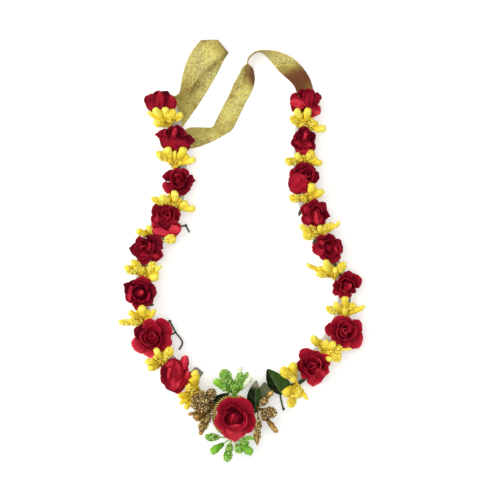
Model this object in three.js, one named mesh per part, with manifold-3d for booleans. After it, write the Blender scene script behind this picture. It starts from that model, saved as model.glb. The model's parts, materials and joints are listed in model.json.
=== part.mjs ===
// A flower garland lying flat: paper roses and stamen buds on two taped stems, with backing bands,
// a large centre rose in a gold cord rim, and a gold tie ribbon. Millimetres, +Z up, +Y to the tie.
import * as THREE from 'three';
import { mergeVertices } from 'three/addons/utils/BufferGeometryUtils.js';
import Module from 'manifold-3d';

const wasm = await Module();
wasm.setup();
const { Manifold, Mesh: SolidMesh } = wasm;

// Driving dimensions.
const gap = 0.3;
const paper = 0.6;
const bandWidth = 10.6;
const bandThick = 0.8;
const ribbonThick = 0.7;
const stemRadius = 1.4;
const twigRadius = 0.45;
const rootRadius = 1.1;
const narrowPetal = 0.98;
const budWidth = 6;
const budLength = 9.2;
const rimCentre = [-5, -102.6];
const rimRadius = 12.8;
const cordRadius = 1;
const stemHeight = bandThick + gap + stemRadius;
const flowerBase = stemHeight + stemRadius + 0.4;

const degrees = Math.PI / 180;

const colours = {
  rose: new THREE.MeshStandardMaterial({ color: 0x9c1426, roughness: 0.8 }),
  yellow: new THREE.MeshStandardMaterial({ color: 0xf2dc32, roughness: 0.6 }),
  green: new THREE.MeshStandardMaterial({ color: 0x74c43c, roughness: 0.5 }),
  gold: new THREE.MeshStandardMaterial({ color: 0xa97f45, roughness: 0.4, metalness: 0.5 }),
  leaf: new THREE.MeshStandardMaterial({ color: 0x223a1e, roughness: 0.7 }),
  cord: new THREE.MeshStandardMaterial({ color: 0xc9982c, roughness: 0.35, metalness: 0.8 }),
  stem: new THREE.MeshStandardMaterial({ color: 0x33401f, roughness: 0.8 }),
  band: new THREE.MeshStandardMaterial({ color: 0xb9bcb6, roughness: 0.8 }),
  ribbon: new THREE.MeshStandardMaterial({ color: 0xbda95c, roughness: 0.35, metalness: 0.7 }),
};

// Each rose: the middle of its outline, the heart's place from there, the height of the heart, how far
// its foot is lifted, and its outer petals as [bearing, reach, pointedness, rise].
const roses = {
  rose_left_1: {
    at: [-49.9, 91.7], heart: [0.5, 3.4], tall: 8.6, lift: 2.4, spin: 20,
    petals: [[176, 9, 0.1, 0.8], [235, 7.6, 0, 0.5], [300, 7.4, 0.1, 0.5],
      [-6, 9, 0, 0.8], [60, 6.8, 0.2, 0.9], [120, 6.8, 0.1, 0.9]],
  },
  rose_left_2: {
    at: [-40.9, 69.4], heart: [-0.9, 4.2], tall: 8.4, lift: 1.1, spin: 130,
    petals: [[170, 11, 0.9, 0.55], [215, 8.6, 0.1, 0.4], [-90, 8, 0.5, 0.3],
      [-40, 9, 0.1, 0.5], [-6, 11.5, 0.9, 0.5], [60, 7.4, 0.2, 0.9], [118, 7.6, 0.3, 0.9]],
  },
  rose_left_3: {
    at: [-38.8, 43.1], heart: [-0.3, 4.3], tall: 9, lift: 0, spin: 250,
    petals: [[167, 9.5, 0.9, 0.65], [198, 10.3, 0, 0.3], [-66, 9.2, 0.3, 0.35],
      [2, 10, 0.9, 0.6], [48, 9, 0.2, 0.75], [96, 8.6, 0.2, 0.8]],
  },
  rose_left_4: {
    at: [-46.8, 18.6], heart: [1.2, 4.8], tall: 9.4, lift: 0, spin: 60,
    petals: [[227, 10.4, 0.1, 0.3], [-36, 11, 0.1, 0.3], [133, 11, 0.2, 0.65],
      [20, 9.6, 0.2, 0.65], [80, 9.2, 0.2, 0.8], [176, 9, 0.1, 0.6]],
  },
  rose_left_5: {
    at: [-58.3, 0.6], heart: [0.4, 0.6], tall: 7.6, lift: 0, spin: 300,
    petals: [[173, 9.9, 1, 0.6], [-100, 8.8, 0.7, 0.55], [-21, 10.3, 1, 0.6],
      [46, 11, 0.7, 0.65], [117, 9, 0.7, 0.7]],
  },
  rose_left_6: {
    at: [-62.9, -26], heart: [1.2, 0.2], tall: 9, lift: 0, spin: 10,
    petals: [[153, 11, 0.9, 0.5], [208, 9.2, 0.2, 0.5], [-101, 10.1, 0.6, 0.4],
      [-50, 9.6, 0.1, 0.6], [10, 10, 0.1, 0.65], [80, 10, 0.2, 0.6]],
  },
  rose_left_7: {
    at: [-55.8, -53.9], heart: [0.4, 2.6], tall: 10, lift: 0, spin: 190,
    petals: [[35, 13.8, 0, 0.45], [101, 11.2, 0.1, 0.6], [158, 11.7, 0.3, 0.4],
      [208, 12.8, 0, 0.35], [-95, 11.6, 0.2, 0.35], [-14, 12.4, 0.3, 0.5]],
  },
  rose_left_8: {
    at: [-40.9, -76], heart: [-4.8, 0], tall: 9.2, lift: 0, spin: 95,
    petals: [[69, 12.8, 0.5, 0.5], [-24, 9.4, 0.1, 0.35], [-83, 11.8, 0.2, 0.4],
      [151, 9, 0.2, 0.7], [228, 9.2, 0.1, 0.6], [20, 8.6, 0.1, 0.5]],
  },
  rose_right_1: {
    at: [39.4, 91.5], heart: [0.6, 4], tall: 8.8, lift: 1.1, spin: 330,
    petals: [[160, 9.9, 0.2, 0.5], [212, 8.8, 0.1, 0.4], [-94, 8.4, 0.1, 0.4],
      [-36, 10.2, 0, 0.35], [18, 9.9, 0.2, 0.6], [60, 8.6, 0.1, 0.8], [112, 8.2, 0.1, 0.8]],
  },
  rose_right_2: {
    at: [38.8, 67.9], heart: [-0.3, 3.6], tall: 9, lift: 0, spin: 150,
    petals: [[90, 8.2, 0.1, 0.8], [22, 8, 0.2, 0.7], [-40, 8.2, 0.1, 0.5],
      [-100, 8.6, 0, 0.4], [200, 8, 0.1, 0.6], [150, 8.2, 0.3, 0.75]],
  },
  rose_right_3: {
    at: [38.8, 45], heart: [3.4, 2], tall: 9.2, lift: 0, spin: 40,
    petals: [[208, 10, 0, 0.3], [119, 9, 0.1, 0.6], [46, 9.3, 0.1, 0.75],
      [-6, 8.8, 0.2, 0.7], [-72, 9.3, 0.2, 0.45], [165, 9, 0.1, 0.45]],
  },
  rose_right_4: {
    at: [45.6, 23.3], heart: [0.6, 1.6], tall: 9.2, lift: 0, spin: 280,
    petals: [[-6, 9.4, 0.9, 0.5], [220, 8.6, 0.2, 0.35], [98, 9.1, 0.1, 0.75],
      [-78, 9.2, 0.1, 0.4], [166, 9, 0.1, 0.6], [46, 9, 0.2, 0.75]],
  },
  rose_right_5: {
    at: [53.3, 2.2], heart: [4.6, -0.6], tall: 9.2, lift: 0, spin: 110,
    petals: [[192, 9.8, 0, 0.35], [86, 8.6, 0.4, 0.6], [33, 8.8, 0.1, 0.75],
      [-12, 9.2, 0.1, 0.7], [-59, 9.9, 0.1, 0.55], [231, 8.2, 0.1, 0.4], [140, 8.6, 0.2, 0.5]],
  },
  rose_right_6: {
    at: [65.1, -21.1], heart: [0.7, -0.6], tall: 8.8, lift: 0, spin: 220,
    petals: [[83, 8.4, 0.3, 0.6], [23, 9.6, 0.2, 0.55], [-105, 8.8, 0.2, 0.45],
      [206, 9.5, 0.1, 0.4], [172, 8.6, 0.1, 0.45], [-37, 7.6, 0.1, 0.6], [128, 8, 0.1, 0.6]],
  },
  rose_right_7: {
    at: [63.2, -50.5], heart: [1.4, 1], tall: 9.2, lift: 0, spin: 350,
    petals: [[114, 10.7, 0.1, 0.5], [164, 11.1, 0.1, 0.4], [29, 11.8, 0.2, 0.45],
      [-35, 12.6, 0, 0.35], [-88, 9.8, 0, 0.35], [220, 8.6, 0.1, 0.4], [72, 9.6, 0.1, 0.5]],
  },
  rose_right_8: {
    at: [45, -71.9], heart: [-2, 1.9], tall: 9.4, lift: 0, spin: 170,
    petals: [[120, 12.1, 0.1, 0.5], [173, 10.4, 0.1, 0.45], [34, 10.9, 0.1, 0.5],
      [-17, 9.6, 0.2, 0.5], [-92, 11.4, 0.4, 0.35], [221, 9, 0.1, 0.4], [75, 9.8, 0.1, 0.55]],
  },
  rose_centre: {
    at: [-4.3, -103.6], heart: [-0.4, 0.6], tall: 11, lift: 0, spin: 45,
    petals: [[-88, 13.8, 0.5, 0.35], [-19, 13.2, 0.1, 0.4], [56, 13.4, 0.1, 0.5],
      [122, 12.8, 0, 0.5], [194, 11.9, 0, 0.4]],
  },
};

// Each bunch: its root, and its buds as [x and y of the bud's middle from the root, form, size].
const smooth = 's', crinkled = 'c', slim = 't', large = 'g';
const yellowBunches = {
  buds_left_1: {
    at: [-45, 76.9], lift: 1.1,
    buds: [[-10.5, 8.7, smooth, 0.8], [-6.8, 9.3, smooth, 1.1], [-2.5, 10.5, smooth, 1],
      [0.6, 6.2, crinkled, 1.2], [6.2, 6.2, smooth, 0.9], [-5.6, 1.9, crinkled, 1]],
  },
  buds_left_2: {
    at: [-41.9, 51.5], lift: 0,
    buds: [[-8.1, 7.4, crinkled, 1], [-3.1, 9.3, smooth, 1], [0.6, 6.8, slim, 1],
      [5, 8.7, smooth, 1.2], [10.5, 4.3, smooth, 0.9]],
  },
  buds_left_3: {
    at: [-40.6, 25.4], lift: 0,
    buds: [[-12.4, 6.2, crinkled, 0.9], [-6.8, 6.2, smooth, 1.1], [-0.6, 8.1, smooth, 1.1],
      [4.3, 3.1, smooth, 1], [8.7, 0.6, smooth, 1]],
  },
  buds_left_4: {
    at: [-53, 6.2], lift: 0,
    buds: [[-8.7, 5, smooth, 1], [-3.7, 6.8, smooth, 0.9], [9.3, 1.2, crinkled, 1.1]],
  },
  buds_left_5: {
    at: [-59.8, -18], lift: 0,
    buds: [[-7.4, 6.8, crinkled, 0.9], [-3.7, 7.4, crinkled, 1], [4.3, 6.2, smooth, 1.1],
      [4.3, 1.2, smooth, 0.9], [8, 8, slim, 0.8]],
  },
  buds_left_6: {
    at: [-59.2, -45.9], lift: 0,
    buds: [[-1.9, 8.1, smooth, 1.2], [3.7, 6.2, slim, 1.1], [-8.1, 6.8, smooth, 0.8],
      [-7.4, 1.9, crinkled, 1], [-13.6, 1.9, crinkled, 0.9]],
  },
  buds_left_7: {
    at: [-47.4, -71.3], lift: 0,
    buds: [[-4.3, 8.1, smooth, 1], [-8.7, 2.5, smooth, 1], [-7.4, -1.2, smooth, 0.9],
      [2.5, 8.1, crinkled, 1.2]],
  },
  buds_left_8: {
    at: [-25.7, -88], lift: 0,
    buds: [[-2.5, 10.5, smooth, 1.1], [-5.6, 3.1, crinkled, 1], [-10.5, -1.2, smooth, 0.9],
      [-8.7, -4.3, slim, 1.1], [-7.4, -7.4, smooth, 0.8]],
  },
  buds_right_1: {
    at: [39.4, 75], lift: 0,
    buds: [[-4.3, 11.2, smooth, 1.2], [1.2, 11.2, smooth, 1.2], [-6.2, 6.2, crinkled, 1],
      [-1.9, 2.5, crinkled, 0.9], [5, 3.1, crinkled, 1], [9, 0.4, smooth, 1.1]],
  },
  buds_right_2: {
    at: [39.4, 53.3], lift: 0,
    buds: [[-8.7, 1.9, crinkled, 1.1], [-3.7, 4.3, smooth, 1], [3.1, 5.6, crinkled, 1.1],
      [7.4, 1.2, smooth, 0.9]],
  },
  buds_right_3: {
    at: [41.2, 29.8], lift: 0,
    buds: [[-8.1, 2.5, crinkled, 1.1], [-2.5, 2.5, crinkled, 0.9], [1.9, 8.1, smooth, 1.2],
      [6.8, 5.6, smooth, 1]],
  },
  buds_right_4: {
    at: [48.7, 8.1], lift: 0,
    buds: [[-9.9, 6.2, smooth, 0.9], [-6.8, 1.2, crinkled, 1.2], [0, 5, smooth, 0.9],
      [3.7, 6.2, crinkled, 0.9], [9.3, 7.4, slim, 1]],
  },
  buds_right_5: {
    at: [58, -17.4], lift: 0,
    buds: [[-14.3, 7.4, slim, 1], [-8.7, 3.1, crinkled, 1], [-5, 5.6, smooth, 1],
      [-5, 9.3, smooth, 0.9], [0, 4.3, smooth, 0.9], [3.7, 6.8, crinkled, 1.2]],
  },
  buds_right_6: {
    at: [64.8, -41.5], lift: 0,
    buds: [[-9.3, 5, crinkled, 1], [-5, 6.8, smooth, 1], [-0.6, 9.9, smooth, 1],
      [-0.6, 3.7, smooth, 1], [3.7, 6.8, crinkled, 0.9], [7.4, 5, slim, 1.2]],
  },
  buds_right_7: {
    at: [49.9, -62.6], lift: 0,
    buds: [[-4.3, 6.6, smooth, 1.1], [1.9, 4.3, smooth, 1], [5.6, 3.7, smooth, 1],
      [8.1, -3.1, crinkled, 1.1], [3.7, -3.7, smooth, 0.8], [15.5, 1.9, slim, 0.7]],
  },
  buds_right_8: {
    at: [34.4, -81.8], lift: 0,
    buds: [[-6.2, 5, crinkled, 1.2], [-2.5, 8.1, smooth, 1], [0.6, -2.5, smooth, 0.9],
      [-4.3, -5.6, smooth, 1], [5, -8.1, slim, 1.1], [-2.5, -11.8, crinkled, 1]],
  },
};

const greenBunches = {
  green_buds_top: {
    at: [-4, -89.9], lift: 0,
    buds: [[-5.6, 11.8, large, 0.9], [-9.9, 7.4, smooth, 1], [-6.8, 4.3, crinkled, 1],
      [0.6, 5, crinkled, 1], [3.7, 11.2, crinkled, 1.1], [3.1, 17.4, smooth, 0.8],
      [7.4, 9.3, slim, 1], [7, 13, crinkled, 0.6]],
  },
  green_buds_bottom: {
    at: [-5.9, -115.9], lift: 0,
    buds: [[-12.4, 0.6, crinkled, 1.1], [-10.5, -6.8, smooth, 1.1], [-3.1, -6.2, crinkled, 1],
      [-1.9, -11.2, crinkled, 1.2], [3.7, -6.2, crinkled, 1], [9.9, -7.4, smooth, 1.1],
      [11.8, 0, slim, 0.7]],
  },
};

const goldBunches = {
  gold_buds_left: {
    at: [-17.7, -97.3], lift: 0,
    buds: [[-0.9, 8.4, smooth, 1.15], [-7.8, 9, crinkled, 0.85], [-5, 7.4, crinkled, 1],
      [-9.9, 3.7, crinkled, 1], [-8.7, 0, crinkled, 1.1], [-8, -5, smooth, 1.1],
      [-6.2, -10.9, crinkled, 1.15], [-7.1, -15.5, smooth, 0.6]],
  },
  gold_buds_right: {
    at: [10.2, -97.3], lift: 0,
    buds: [[6.8, -1.9, large, 0.9], [6.2, 8.1, slim, 0.9], [8.7, -11.2, slim, 1.2],
      [0, -9.9, crinkled, 0.9], [-0.6, -17.4, crinkled, 1.1], [-0.2, -21.7, slim, 0.7]],
  },
};

// Each leaf: its foot, its tip, their heights, its width left and right of the rib, and how far its
// sides fold up.
const leaves = {
  leaf_upright: { foot: [8.7, -101], tip: [9.3, -80.2], low: 4.6, high: 8, wide: [5.6, 3], fold: 1.6 },
  leaf_behind: { foot: [15.2, -93], tip: [14.3, -81.6], low: 4.3, high: 4.6, wide: [4.2, 4.2], fold: 0.6 },
  leaf_broad: { foot: [24, -88.9], tip: [15.4, -73.5], low: 4.6, high: 6.8, wide: [4.2, 8.4], fold: 2 },
  leaf_left: { foot: [-7.8, -88.8], tip: [-23.9, -98.4], low: 0.36, high: 0.36, wide: [2.9, 2.9], fold: 0 },
};

// The stems run under the rose feet, as points [x, y, how far the stem is lifted].
const stemPaths = {
  stem_left: [[-49.3, 86.8, 2.4], [-44.8, 77.5, 1.4], [-40.7, 66.8, 1.1], [-39.4, 52, 0.2],
    [-38.8, 41, 0], [-42, 28, 0], [-47.2, 16.4, 0], [-53.4, 7, 0], [-58.6, 0, 0], [-61.8, -14, 0],
    [-63.4, -26.4, 0], [-61.4, -41, 0], [-56, -55.4, 0], [-49.4, -66, 0], [-38.8, -75.8, 0],
    [-27, -87, 0], [-16.5, -95.4, 0], [-6.6, -101.6, 0]],
  stem_right: [[39, 86.6, 1.1], [38.8, 77, 0.6], [38.5, 66, 0], [38, 54, 0], [37.2, 44, 0],
    [40.4, 33, 0], [45.2, 22.4, 0], [48.6, 11, 0], [51.2, 2.6, 0], [58, -9, 0],
    [64.6, -20.8, 0], [66, -36, 0], [62.6, -51, 0], [55.6, -61, 0], [45.8, -72.8, 0],
    [36, -82, 0], [26.4, -84.8, 0], [17.7, -87.6, 0], [10.2, -93.4, 0], [-0.4, -102.2, 0]],
};

// Loose stem ends that show beside the roses: the points of each, with their heights.
const twigs = {
  stem_left: [
    [[-47, 17, 2.4], [-38, 15.6, 2.8], [-34.6, 15.8, 4]],
    [[-34.6, 15.8, 4], [-32.4, 11.6, 4.2]],
    [[-56, -55, 2.4], [-44, -52, 2.6], [-41, -50.4, 4]],
    [[-44.6, -43.6, 4.4], [-41, -50.4, 4], [-36.8, -56.6, 3.6], [-38.8, -61.4, 3]],
  ],
  stem_right: [
    [[24.6, -85.4, 2.4], [24.2, -90, 3], [25.1, -94.9, 3], [26.1, -98.3, 3]],
  ],
};
const knobs = {
  stem_left: [[-34.6, 15.8, 4], [-44.6, -43.6, 4.4]],
  stem_right: [[26.1, -98.3, 3]],
};

// The backing bands, as points [x, y, how far the band is lifted].
const bandPaths = {
  band_left: [[-46.6, 95.4, 2.4], [-43.6, 84, 1.5], [-40.9, 70, 1.1], [-39.4, 57, 0.9],
    [-39.2, 48, 0], [-40.4, 34, 0], [-46.4, 18.6, 0], [-55.6, 1, 0], [-61.4, -14, 0],
    [-62.6, -26, 0], [-58.8, -44, 0], [-51.4, -58.6, 0], [-42.8, -65.4, 0], [-36, -70.4, 0],
    [-25.2, -76.8, 0]],
  band_right: [[39.2, 95.4, 1.2], [38.8, 82, 0.9], [37.8, 72, 0], [36.4, 56, 0], [36.4, 42, 0],
    [42, 24, 0], [50, 5, 0], [59, -11, 0], [64, -26, 0], [61.6, -43, 0],
    [52, -59, 0], [41, -71.4, 0], [31, -81, 0]],
};

// The ribbon from the left arm to the right arm: its two edges, station by station, and a third
// point where it bulges between them.
const ribbonEdges = [
  [[-46.2, 94.9, 1.5], [-41.9, 86.2, 1.5]],
  [[-39.4, 97.7, 1.7], [-34.4, 91.8, 1.9]],
  [[-37.9, 102.3, 2], [-31.3, 101.1, 5]],
  [[-36.3, 111, 3], [-25.7, 108.5, 6]],
  [[-33.2, 119.7, 4.4], [-19.2, 115.2, 5.8]],
  [[-29.5, 125.9, 5], [-14.6, 119.2, 5.8], [-21.8, 124.2, 5.8]],
  [[-25.4, 130.6, 4], [-9.4, 123.2, 4.2], [-16.2, 130.6, 4.6]],
  [[-25.2, 130.6, 1.7], [-9.2, 123.2, 1.7], [-16, 130.6, 1.9]],
  [[-26, 124, 0.5], [-11, 119, 0.5], [-18, 123, 0.5]],
  [[-25.7, 117.8, 0.35], [-14, 112.8, 0.35]],
  [[-30.7, 108.5, 0.35], [-20.2, 101.7, 0.35]],
  [[-38.8, 96.4, 0.35], [-28.2, 89.3, 0.35]],
  [[-46.2, 85.6, 0.35], [-35.7, 78.7, 0.35]],
  [[-48.1, 77.5, 0.35], [-38.1, 75.6, 0.35]],
  [[-44.3, 68.2, 0.35], [-37.5, 75, 0.35]],
  [[-36.9, 63.9, 0.35], [-35.7, 75.3, 0.35]],
  [[-28.2, 64.5, 0.35], [-31.9, 76.9, 1.6]],
  [[-18.3, 68.2, 0.35], [-23.9, 76.9, 2.4]],
  [[-11.5, 71.9, 0.35], [-18.3, 77.2, 2]],
  [[-5.9, 75.6, 0.35], [-15.8, 81.8, 1]],
  [[-1.9, 83.1, 0.35], [-12.1, 89.3, 0.6]],
  [[2.2, 91.8, 0.35], [-8.4, 96.1, 0.8]],
  [[6.5, 99.8, 0.35], [-4.7, 104.2, 4]],
  [[8.1, 106, 0.4], [-1.2, 109.7, 8]],
  [[7.1, 111.6, 0.4], [0.6, 114.1, 11]],
  [[4.9, 115.9, 0.4], [2.8, 116.6, 12.4]],
  [[5.9, 120.9, 0.4], [5.3, 121.5, 12.8]],
  [[10.2, 124, 0.4], [9.6, 125.2, 12.8]],
  [[15.2, 122.8, 0.4], [15.8, 125.2, 12.4]],
  [[19.2, 117.2, 0.4], [24.5, 124.6, 8.6]],
  [[25.1, 109.1, 0.4], [33.2, 119.4, 3]],
  [[30.1, 103.5, 0.35], [39.4, 112.8, 1]],
  [[33.2, 99.2, 0.35], [43.1, 105.4, 0.5]],
  [[34.4, 93.6, 0.35], [45.6, 95.5, 0.35]],
  [[34.4, 88.6, 0.35], [45.6, 88.6, 0.35]],
];

const vector = (p) => new THREE.Vector3(p[0], p[1], p[2]);

function surface(positions, triangles) {
  const geometry = new THREE.BufferGeometry();
  geometry.setAttribute('position', new THREE.Float32BufferAttribute(positions, 3));
  geometry.setIndex(triangles);
  return geometry;
}

function solid(geometry) {
  const bare = geometry.clone();
  bare.deleteAttribute('normal');
  bare.deleteAttribute('uv');
  const merged = mergeVertices(bare, 1e-4);
  return new Manifold(new SolidMesh({
    numProp: 3,
    vertProperties: merged.attributes.position.array,
    triVerts: new Uint32Array(merged.index.array),
  }));
}

function geometryOf(body) {
  const mesh = body.getMesh();
  const geometry = new THREE.BufferGeometry();
  geometry.setAttribute('position', new THREE.BufferAttribute(mesh.vertProperties, 3));
  geometry.setIndex(new THREE.BufferAttribute(mesh.triVerts, 1));
  geometry.computeVertexNormals();
  return geometry;
}

// The rows of a sheet with its two ends moved out.
function lengthened(rows, by) {
  const ends = [[0, 1], [rows.length - 1, rows.length - 2]];
  for (const [end, inside] of ends) {
    rows[end].forEach((p, j) => p.addScaledVector(p.clone().sub(rows[inside][j]).normalize(), by));
  }
  return rows;
}

// A closed sheet of even thickness over a grid of middle points, cut alike on both faces.
function sheetSolid(rows, thickness) {
  const down = rows.length, across = rows[0].length;
  const at = (i, j) => rows[Math.min(Math.max(i, 0), down - 1)][Math.min(Math.max(j, 0), across - 1)];
  const positions = [], triangles = [];
  for (const side of [1, -1]) {
    for (let i = 0; i < down; i++) {
      for (let j = 0; j < across; j++) {
        const along = at(i + 1, j).clone().sub(at(i - 1, j));
        const over = at(i, j + 1).clone().sub(at(i, j - 1));
        const normal = over.cross(along).normalize();
        const p = rows[i][j].clone().addScaledVector(normal, side * thickness / 2);
        positions.push(p.x, p.y, p.z);
      }
    }
  }
  const index = (i, j, under) => (under ? down * across : 0) + i * across + j;
  const quad = (a, b, c, d) => triangles.push(a, b, c, a, c, d);
  for (let i = 0; i + 1 < down; i++) {
    for (let j = 0; j + 1 < across; j++) {
      const [a, b, c, d] = [[i, j], [i, j + 1], [i + 1, j + 1], [i + 1, j]];
      const top = [a, b, c, d].map(([m, n]) => index(m, n, false));
      const under = [a, b, c, d].map(([m, n]) => index(m, n, true));
      quad(...top);
      triangles.push(under[0], under[2], under[1], under[0], under[3], under[2]);
    }
  }
  const rim = [];
  for (let j = 0; j < across; j++) rim.push([0, j]);
  for (let i = 1; i < down; i++) rim.push([i, across - 1]);
  for (let j = across - 2; j >= 0; j--) rim.push([down - 1, j]);
  for (let i = down - 2; i > 0; i--) rim.push([i, 0]);
  rim.forEach(([i, j], k) => {
    const [m, n] = rim[(k + 1) % rim.length];
    quad(index(i, j, true), index(m, n, true), index(m, n, false), index(i, j, false));
  });
  return solid(surface(positions, triangles));
}

// A turned solid whose profile [radius, height] runs along the line from one point to another.
function turned(profile, from, to, sides) {
  const points = profile.map(([radius, height]) => new THREE.Vector2(radius, height));
  const axis = to.clone().sub(from).normalize();
  const geometry = new THREE.LatheGeometry(points, sides);
  geometry.applyQuaternion(new THREE.Quaternion().setFromUnitVectors(new THREE.Vector3(0, 1, 0), axis));
  geometry.translate(from.x, from.y, from.z);
  return solid(geometry);
}

function ball(centre, radius, sides) {
  const low = centre.clone().setZ(centre.z - radius);
  const high = centre.clone().setZ(centre.z + radius);
  return turned([[0, 0], [radius, radius * 0.6], [radius, radius * 1.4], [0, radius * 2]], low, high, sides);
}

const join = (bodies) => Manifold.union(bodies);

// A rose leans as it rises: its foot, the heart's drift from the foot, and its mean reach.
function standing(spec) {
  const foot = new THREE.Vector3(spec.at[0] - spec.heart[0] * 0.5, spec.at[1] - spec.heart[1] * 0.5,
    flowerBase + spec.lift);
  const drift = new THREE.Vector2(spec.heart[0] * 1.5, spec.heart[1] * 1.5);
  const size = spec.petals.reduce((sum, petal) => sum + petal[1], 0) / spec.petals.length;
  return { foot, drift, size };
}

// The outer petals as seen from the leaning axis, each reaching half way to its neighbours.
function outerPetals(spec) {
  const { foot, drift } = standing(spec);
  const full = 2 * Math.PI;
  const petals = spec.petals.map(([bearing, reach, point, rise]) => {
    const out = new THREE.Vector2(
      spec.at[0] + reach * Math.cos(bearing * degrees) - foot.x - drift.x * rise,
      spec.at[1] + reach * Math.sin(bearing * degrees) - foot.y - drift.y * rise);
    return { middle: out.angle(), length: out.length(), point, rise };
  }).sort((a, b) => a.middle - b.middle);
  return petals.map((petal, k) => {
    const before = petals[(k + petals.length - 1) % petals.length].middle;
    const after = petals[(k + 1) % petals.length].middle;
    return { ...petal, right: 0.5 * ((petal.middle - before + full) % full),
      left: 0.5 * ((after - petal.middle + full) % full) };
  });
}

// The columns of a rose's surface: each has a place on one petal's rim and what lies under it there.
function roseColumns(spec) {
  const { size } = standing(spec);
  return outerPetals(spec).flatMap((petal) => {
    const narrow = petal.point > 0.6 || petal.left + petal.right < narrowPetal;
    const across = narrow ? [-0.88, 0, 0.88] : [-0.88, -0.42, 0.42, 0.88];
    return across.map((u) => {
      const full = 1.06 - 0.06 * petal.point;
      const shoulder = (0.2 + 0.06 * petal.point) * Math.abs(u) ** (2 - petal.point);
      const rim = petal.length * (full - shoulder);
      const top = petal.rise * spec.tall + 0.5 + 0.5 * u;
      const core = Math.min(size, 1.2 * rim);
      const belly = Math.max(0.55 * rim, 0.3 * core + 0.35 * rim);
      const slope = (0.7 * top) / (belly - 0.2 * core);
      const half = 0.5 * paper * Math.min(2.5, Math.hypot(1, slope));
      return {
        angle: petal.middle + u * (u < 0 ? petal.right : petal.left),
        endsPetal: u === across[across.length - 1],
        rim, belly, core,
        over: top + half, under: top - half,
        bellyOver: 0.7 * top + half, bellyUnder: 0.7 * top - half,
        collar: Math.max(0.34 * spec.tall, 0.24 * core * slope + 1),
      };
    });
  });
}

// The shell round a rose takes in the steps between its petals.
function levelled(columns) {
  columns.forEach((a, j) => {
    if (!a.endsPetal) return;
    const b = columns[(j + 1) % columns.length];
    for (const key of ['rim', 'belly', 'core', 'over']) a[key] = b[key] = Math.max(a[key], b[key]);
    for (const key of ['under', 'bellyUnder']) a[key] = b[key] = Math.min(a[key], b[key]);
    a.bellyOver = b.bellyOver = a.over;
  });
  return columns;
}

// A paper rose as one closed surface that runs from the foot out under the petals, over their rims,
// down to the collar, over the crest of the inner petals and over the rolled heart. Its shell, which
// trims the neighbours, stands steeply on the petals round the crest.
function rose(spec, grow) {
  const { foot, drift } = standing(spec);
  const columns = grow ? levelled(roseColumns(spec)) : roseColumns(spec);
  const wave = (angle) => Math.cos(3 * angle - spec.spin * degrees);
  const beside = (c) => {
    const radius = Math.max(c.belly, 0.66 * c.core) + grow;
    return [radius, THREE.MathUtils.lerp(c.bellyOver, c.over, (radius - c.belly) / (c.rim - c.belly)) + grow];
  };
  const hollow = grow ? [beside] : [(c) => [c.belly, c.bellyOver], (c) => [0.44 * c.core, c.collar]];
  const valley = grow ? [] : [(c) => [0.38 * c.core, 0.58 * spec.tall]];
  const rows = [
    (c) => [0.2 * c.core + grow, -grow],
    (c) => [c.belly + grow, c.bellyUnder - grow],
    (c) => [c.rim + 1.3 * grow, c.under - grow],
    (c) => [c.rim + 1.3 * grow, c.over + grow],
    ...hollow,
    (c) => [c.core * (0.54 + 0.06 * wave(c.angle)) + grow, spec.tall * (0.82 + 0.08 * wave(c.angle)) + grow],
    ...valley,
    (c) => [0.26 * c.core + grow, spec.tall + grow],
  ];
  const last = rows.length * columns.length;
  const positions = [], triangles = [];
  const place = (radius, angle, height) => positions.push(
    foot.x + drift.x * height / spec.tall + radius * Math.cos(angle),
    foot.y + drift.y * height / spec.tall + radius * Math.sin(angle),
    foot.z + height);
  for (const row of rows) {
    for (const column of columns) {
      const [radius, height] = row(column);
      place(radius, column.angle, height);
    }
  }
  place(0, 0, -grow);
  place(0, 0, 0.86 * spec.tall + grow);
  columns.forEach((column, j) => {
    const next = (j + 1) % columns.length;
    triangles.push(last, next, j);
    for (let i = 0; i + 1 < rows.length; i++) {
      const [a, b] = [i * columns.length + j, i * columns.length + next];
      const [c, d] = [b + columns.length, a + columns.length];
      triangles.push(a, b, c, a, c, d);
    }
    const top = (rows.length - 1) * columns.length;
    triangles.push(last + 1, top + j, top + next);
  });
  return solid(surface(positions, triangles));
}

// A bud's profile from its foot to its tip, as shares of its half width and its length.
const budForms = {
  s: { wide: 1, long: 1, profile: [[0.9, 0.55], [0.8, 0.85]] },
  c: { wide: 1.12, long: 0.95, profile: [[0.95, 0.3], [1, 0.72]] },
  t: { wide: 0.62, long: 1.25, profile: [[1, 0.75]] },
  g: { wide: 1.9, long: 1.45, profile: [[0.85, 0.25], [0.9, 0.7]] },
};

// How high a bud's middle lies above its root: the buds fan up over their neighbours.
const fanRise = (away) => 0.6 + 5.4 * Math.min(1, away / 10);

function bunch(spec, grow) {
  const root = new THREE.Vector3(spec.at[0], spec.at[1], flowerBase + spec.lift + rootRadius);
  const bodies = [ball(root, rootRadius + grow, 4)];
  for (const [x, y, form, size] of spec.buds) {
    const { wide, long, profile } = budForms[form];
    const middle = new THREE.Vector3(root.x + x, root.y + y, root.z + fanRise(Math.hypot(x, y)));
    const away = middle.distanceTo(root);
    const length = budLength * long * size;
    const width = budWidth * wide * size / 2;
    const start = Math.max(0.8, away - length / 2);
    const rings = [[0, -rootRadius], [0.3 * width + grow, start],
      ...profile.map(([radius, height]) => [radius * width + grow, start + height * length]),
      [0, start + length + grow]];
    bodies.push(turned(rings, root, middle, form === slim || size < 0.95 ? 4 : 5));
  }
  return join(bodies);
}

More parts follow.
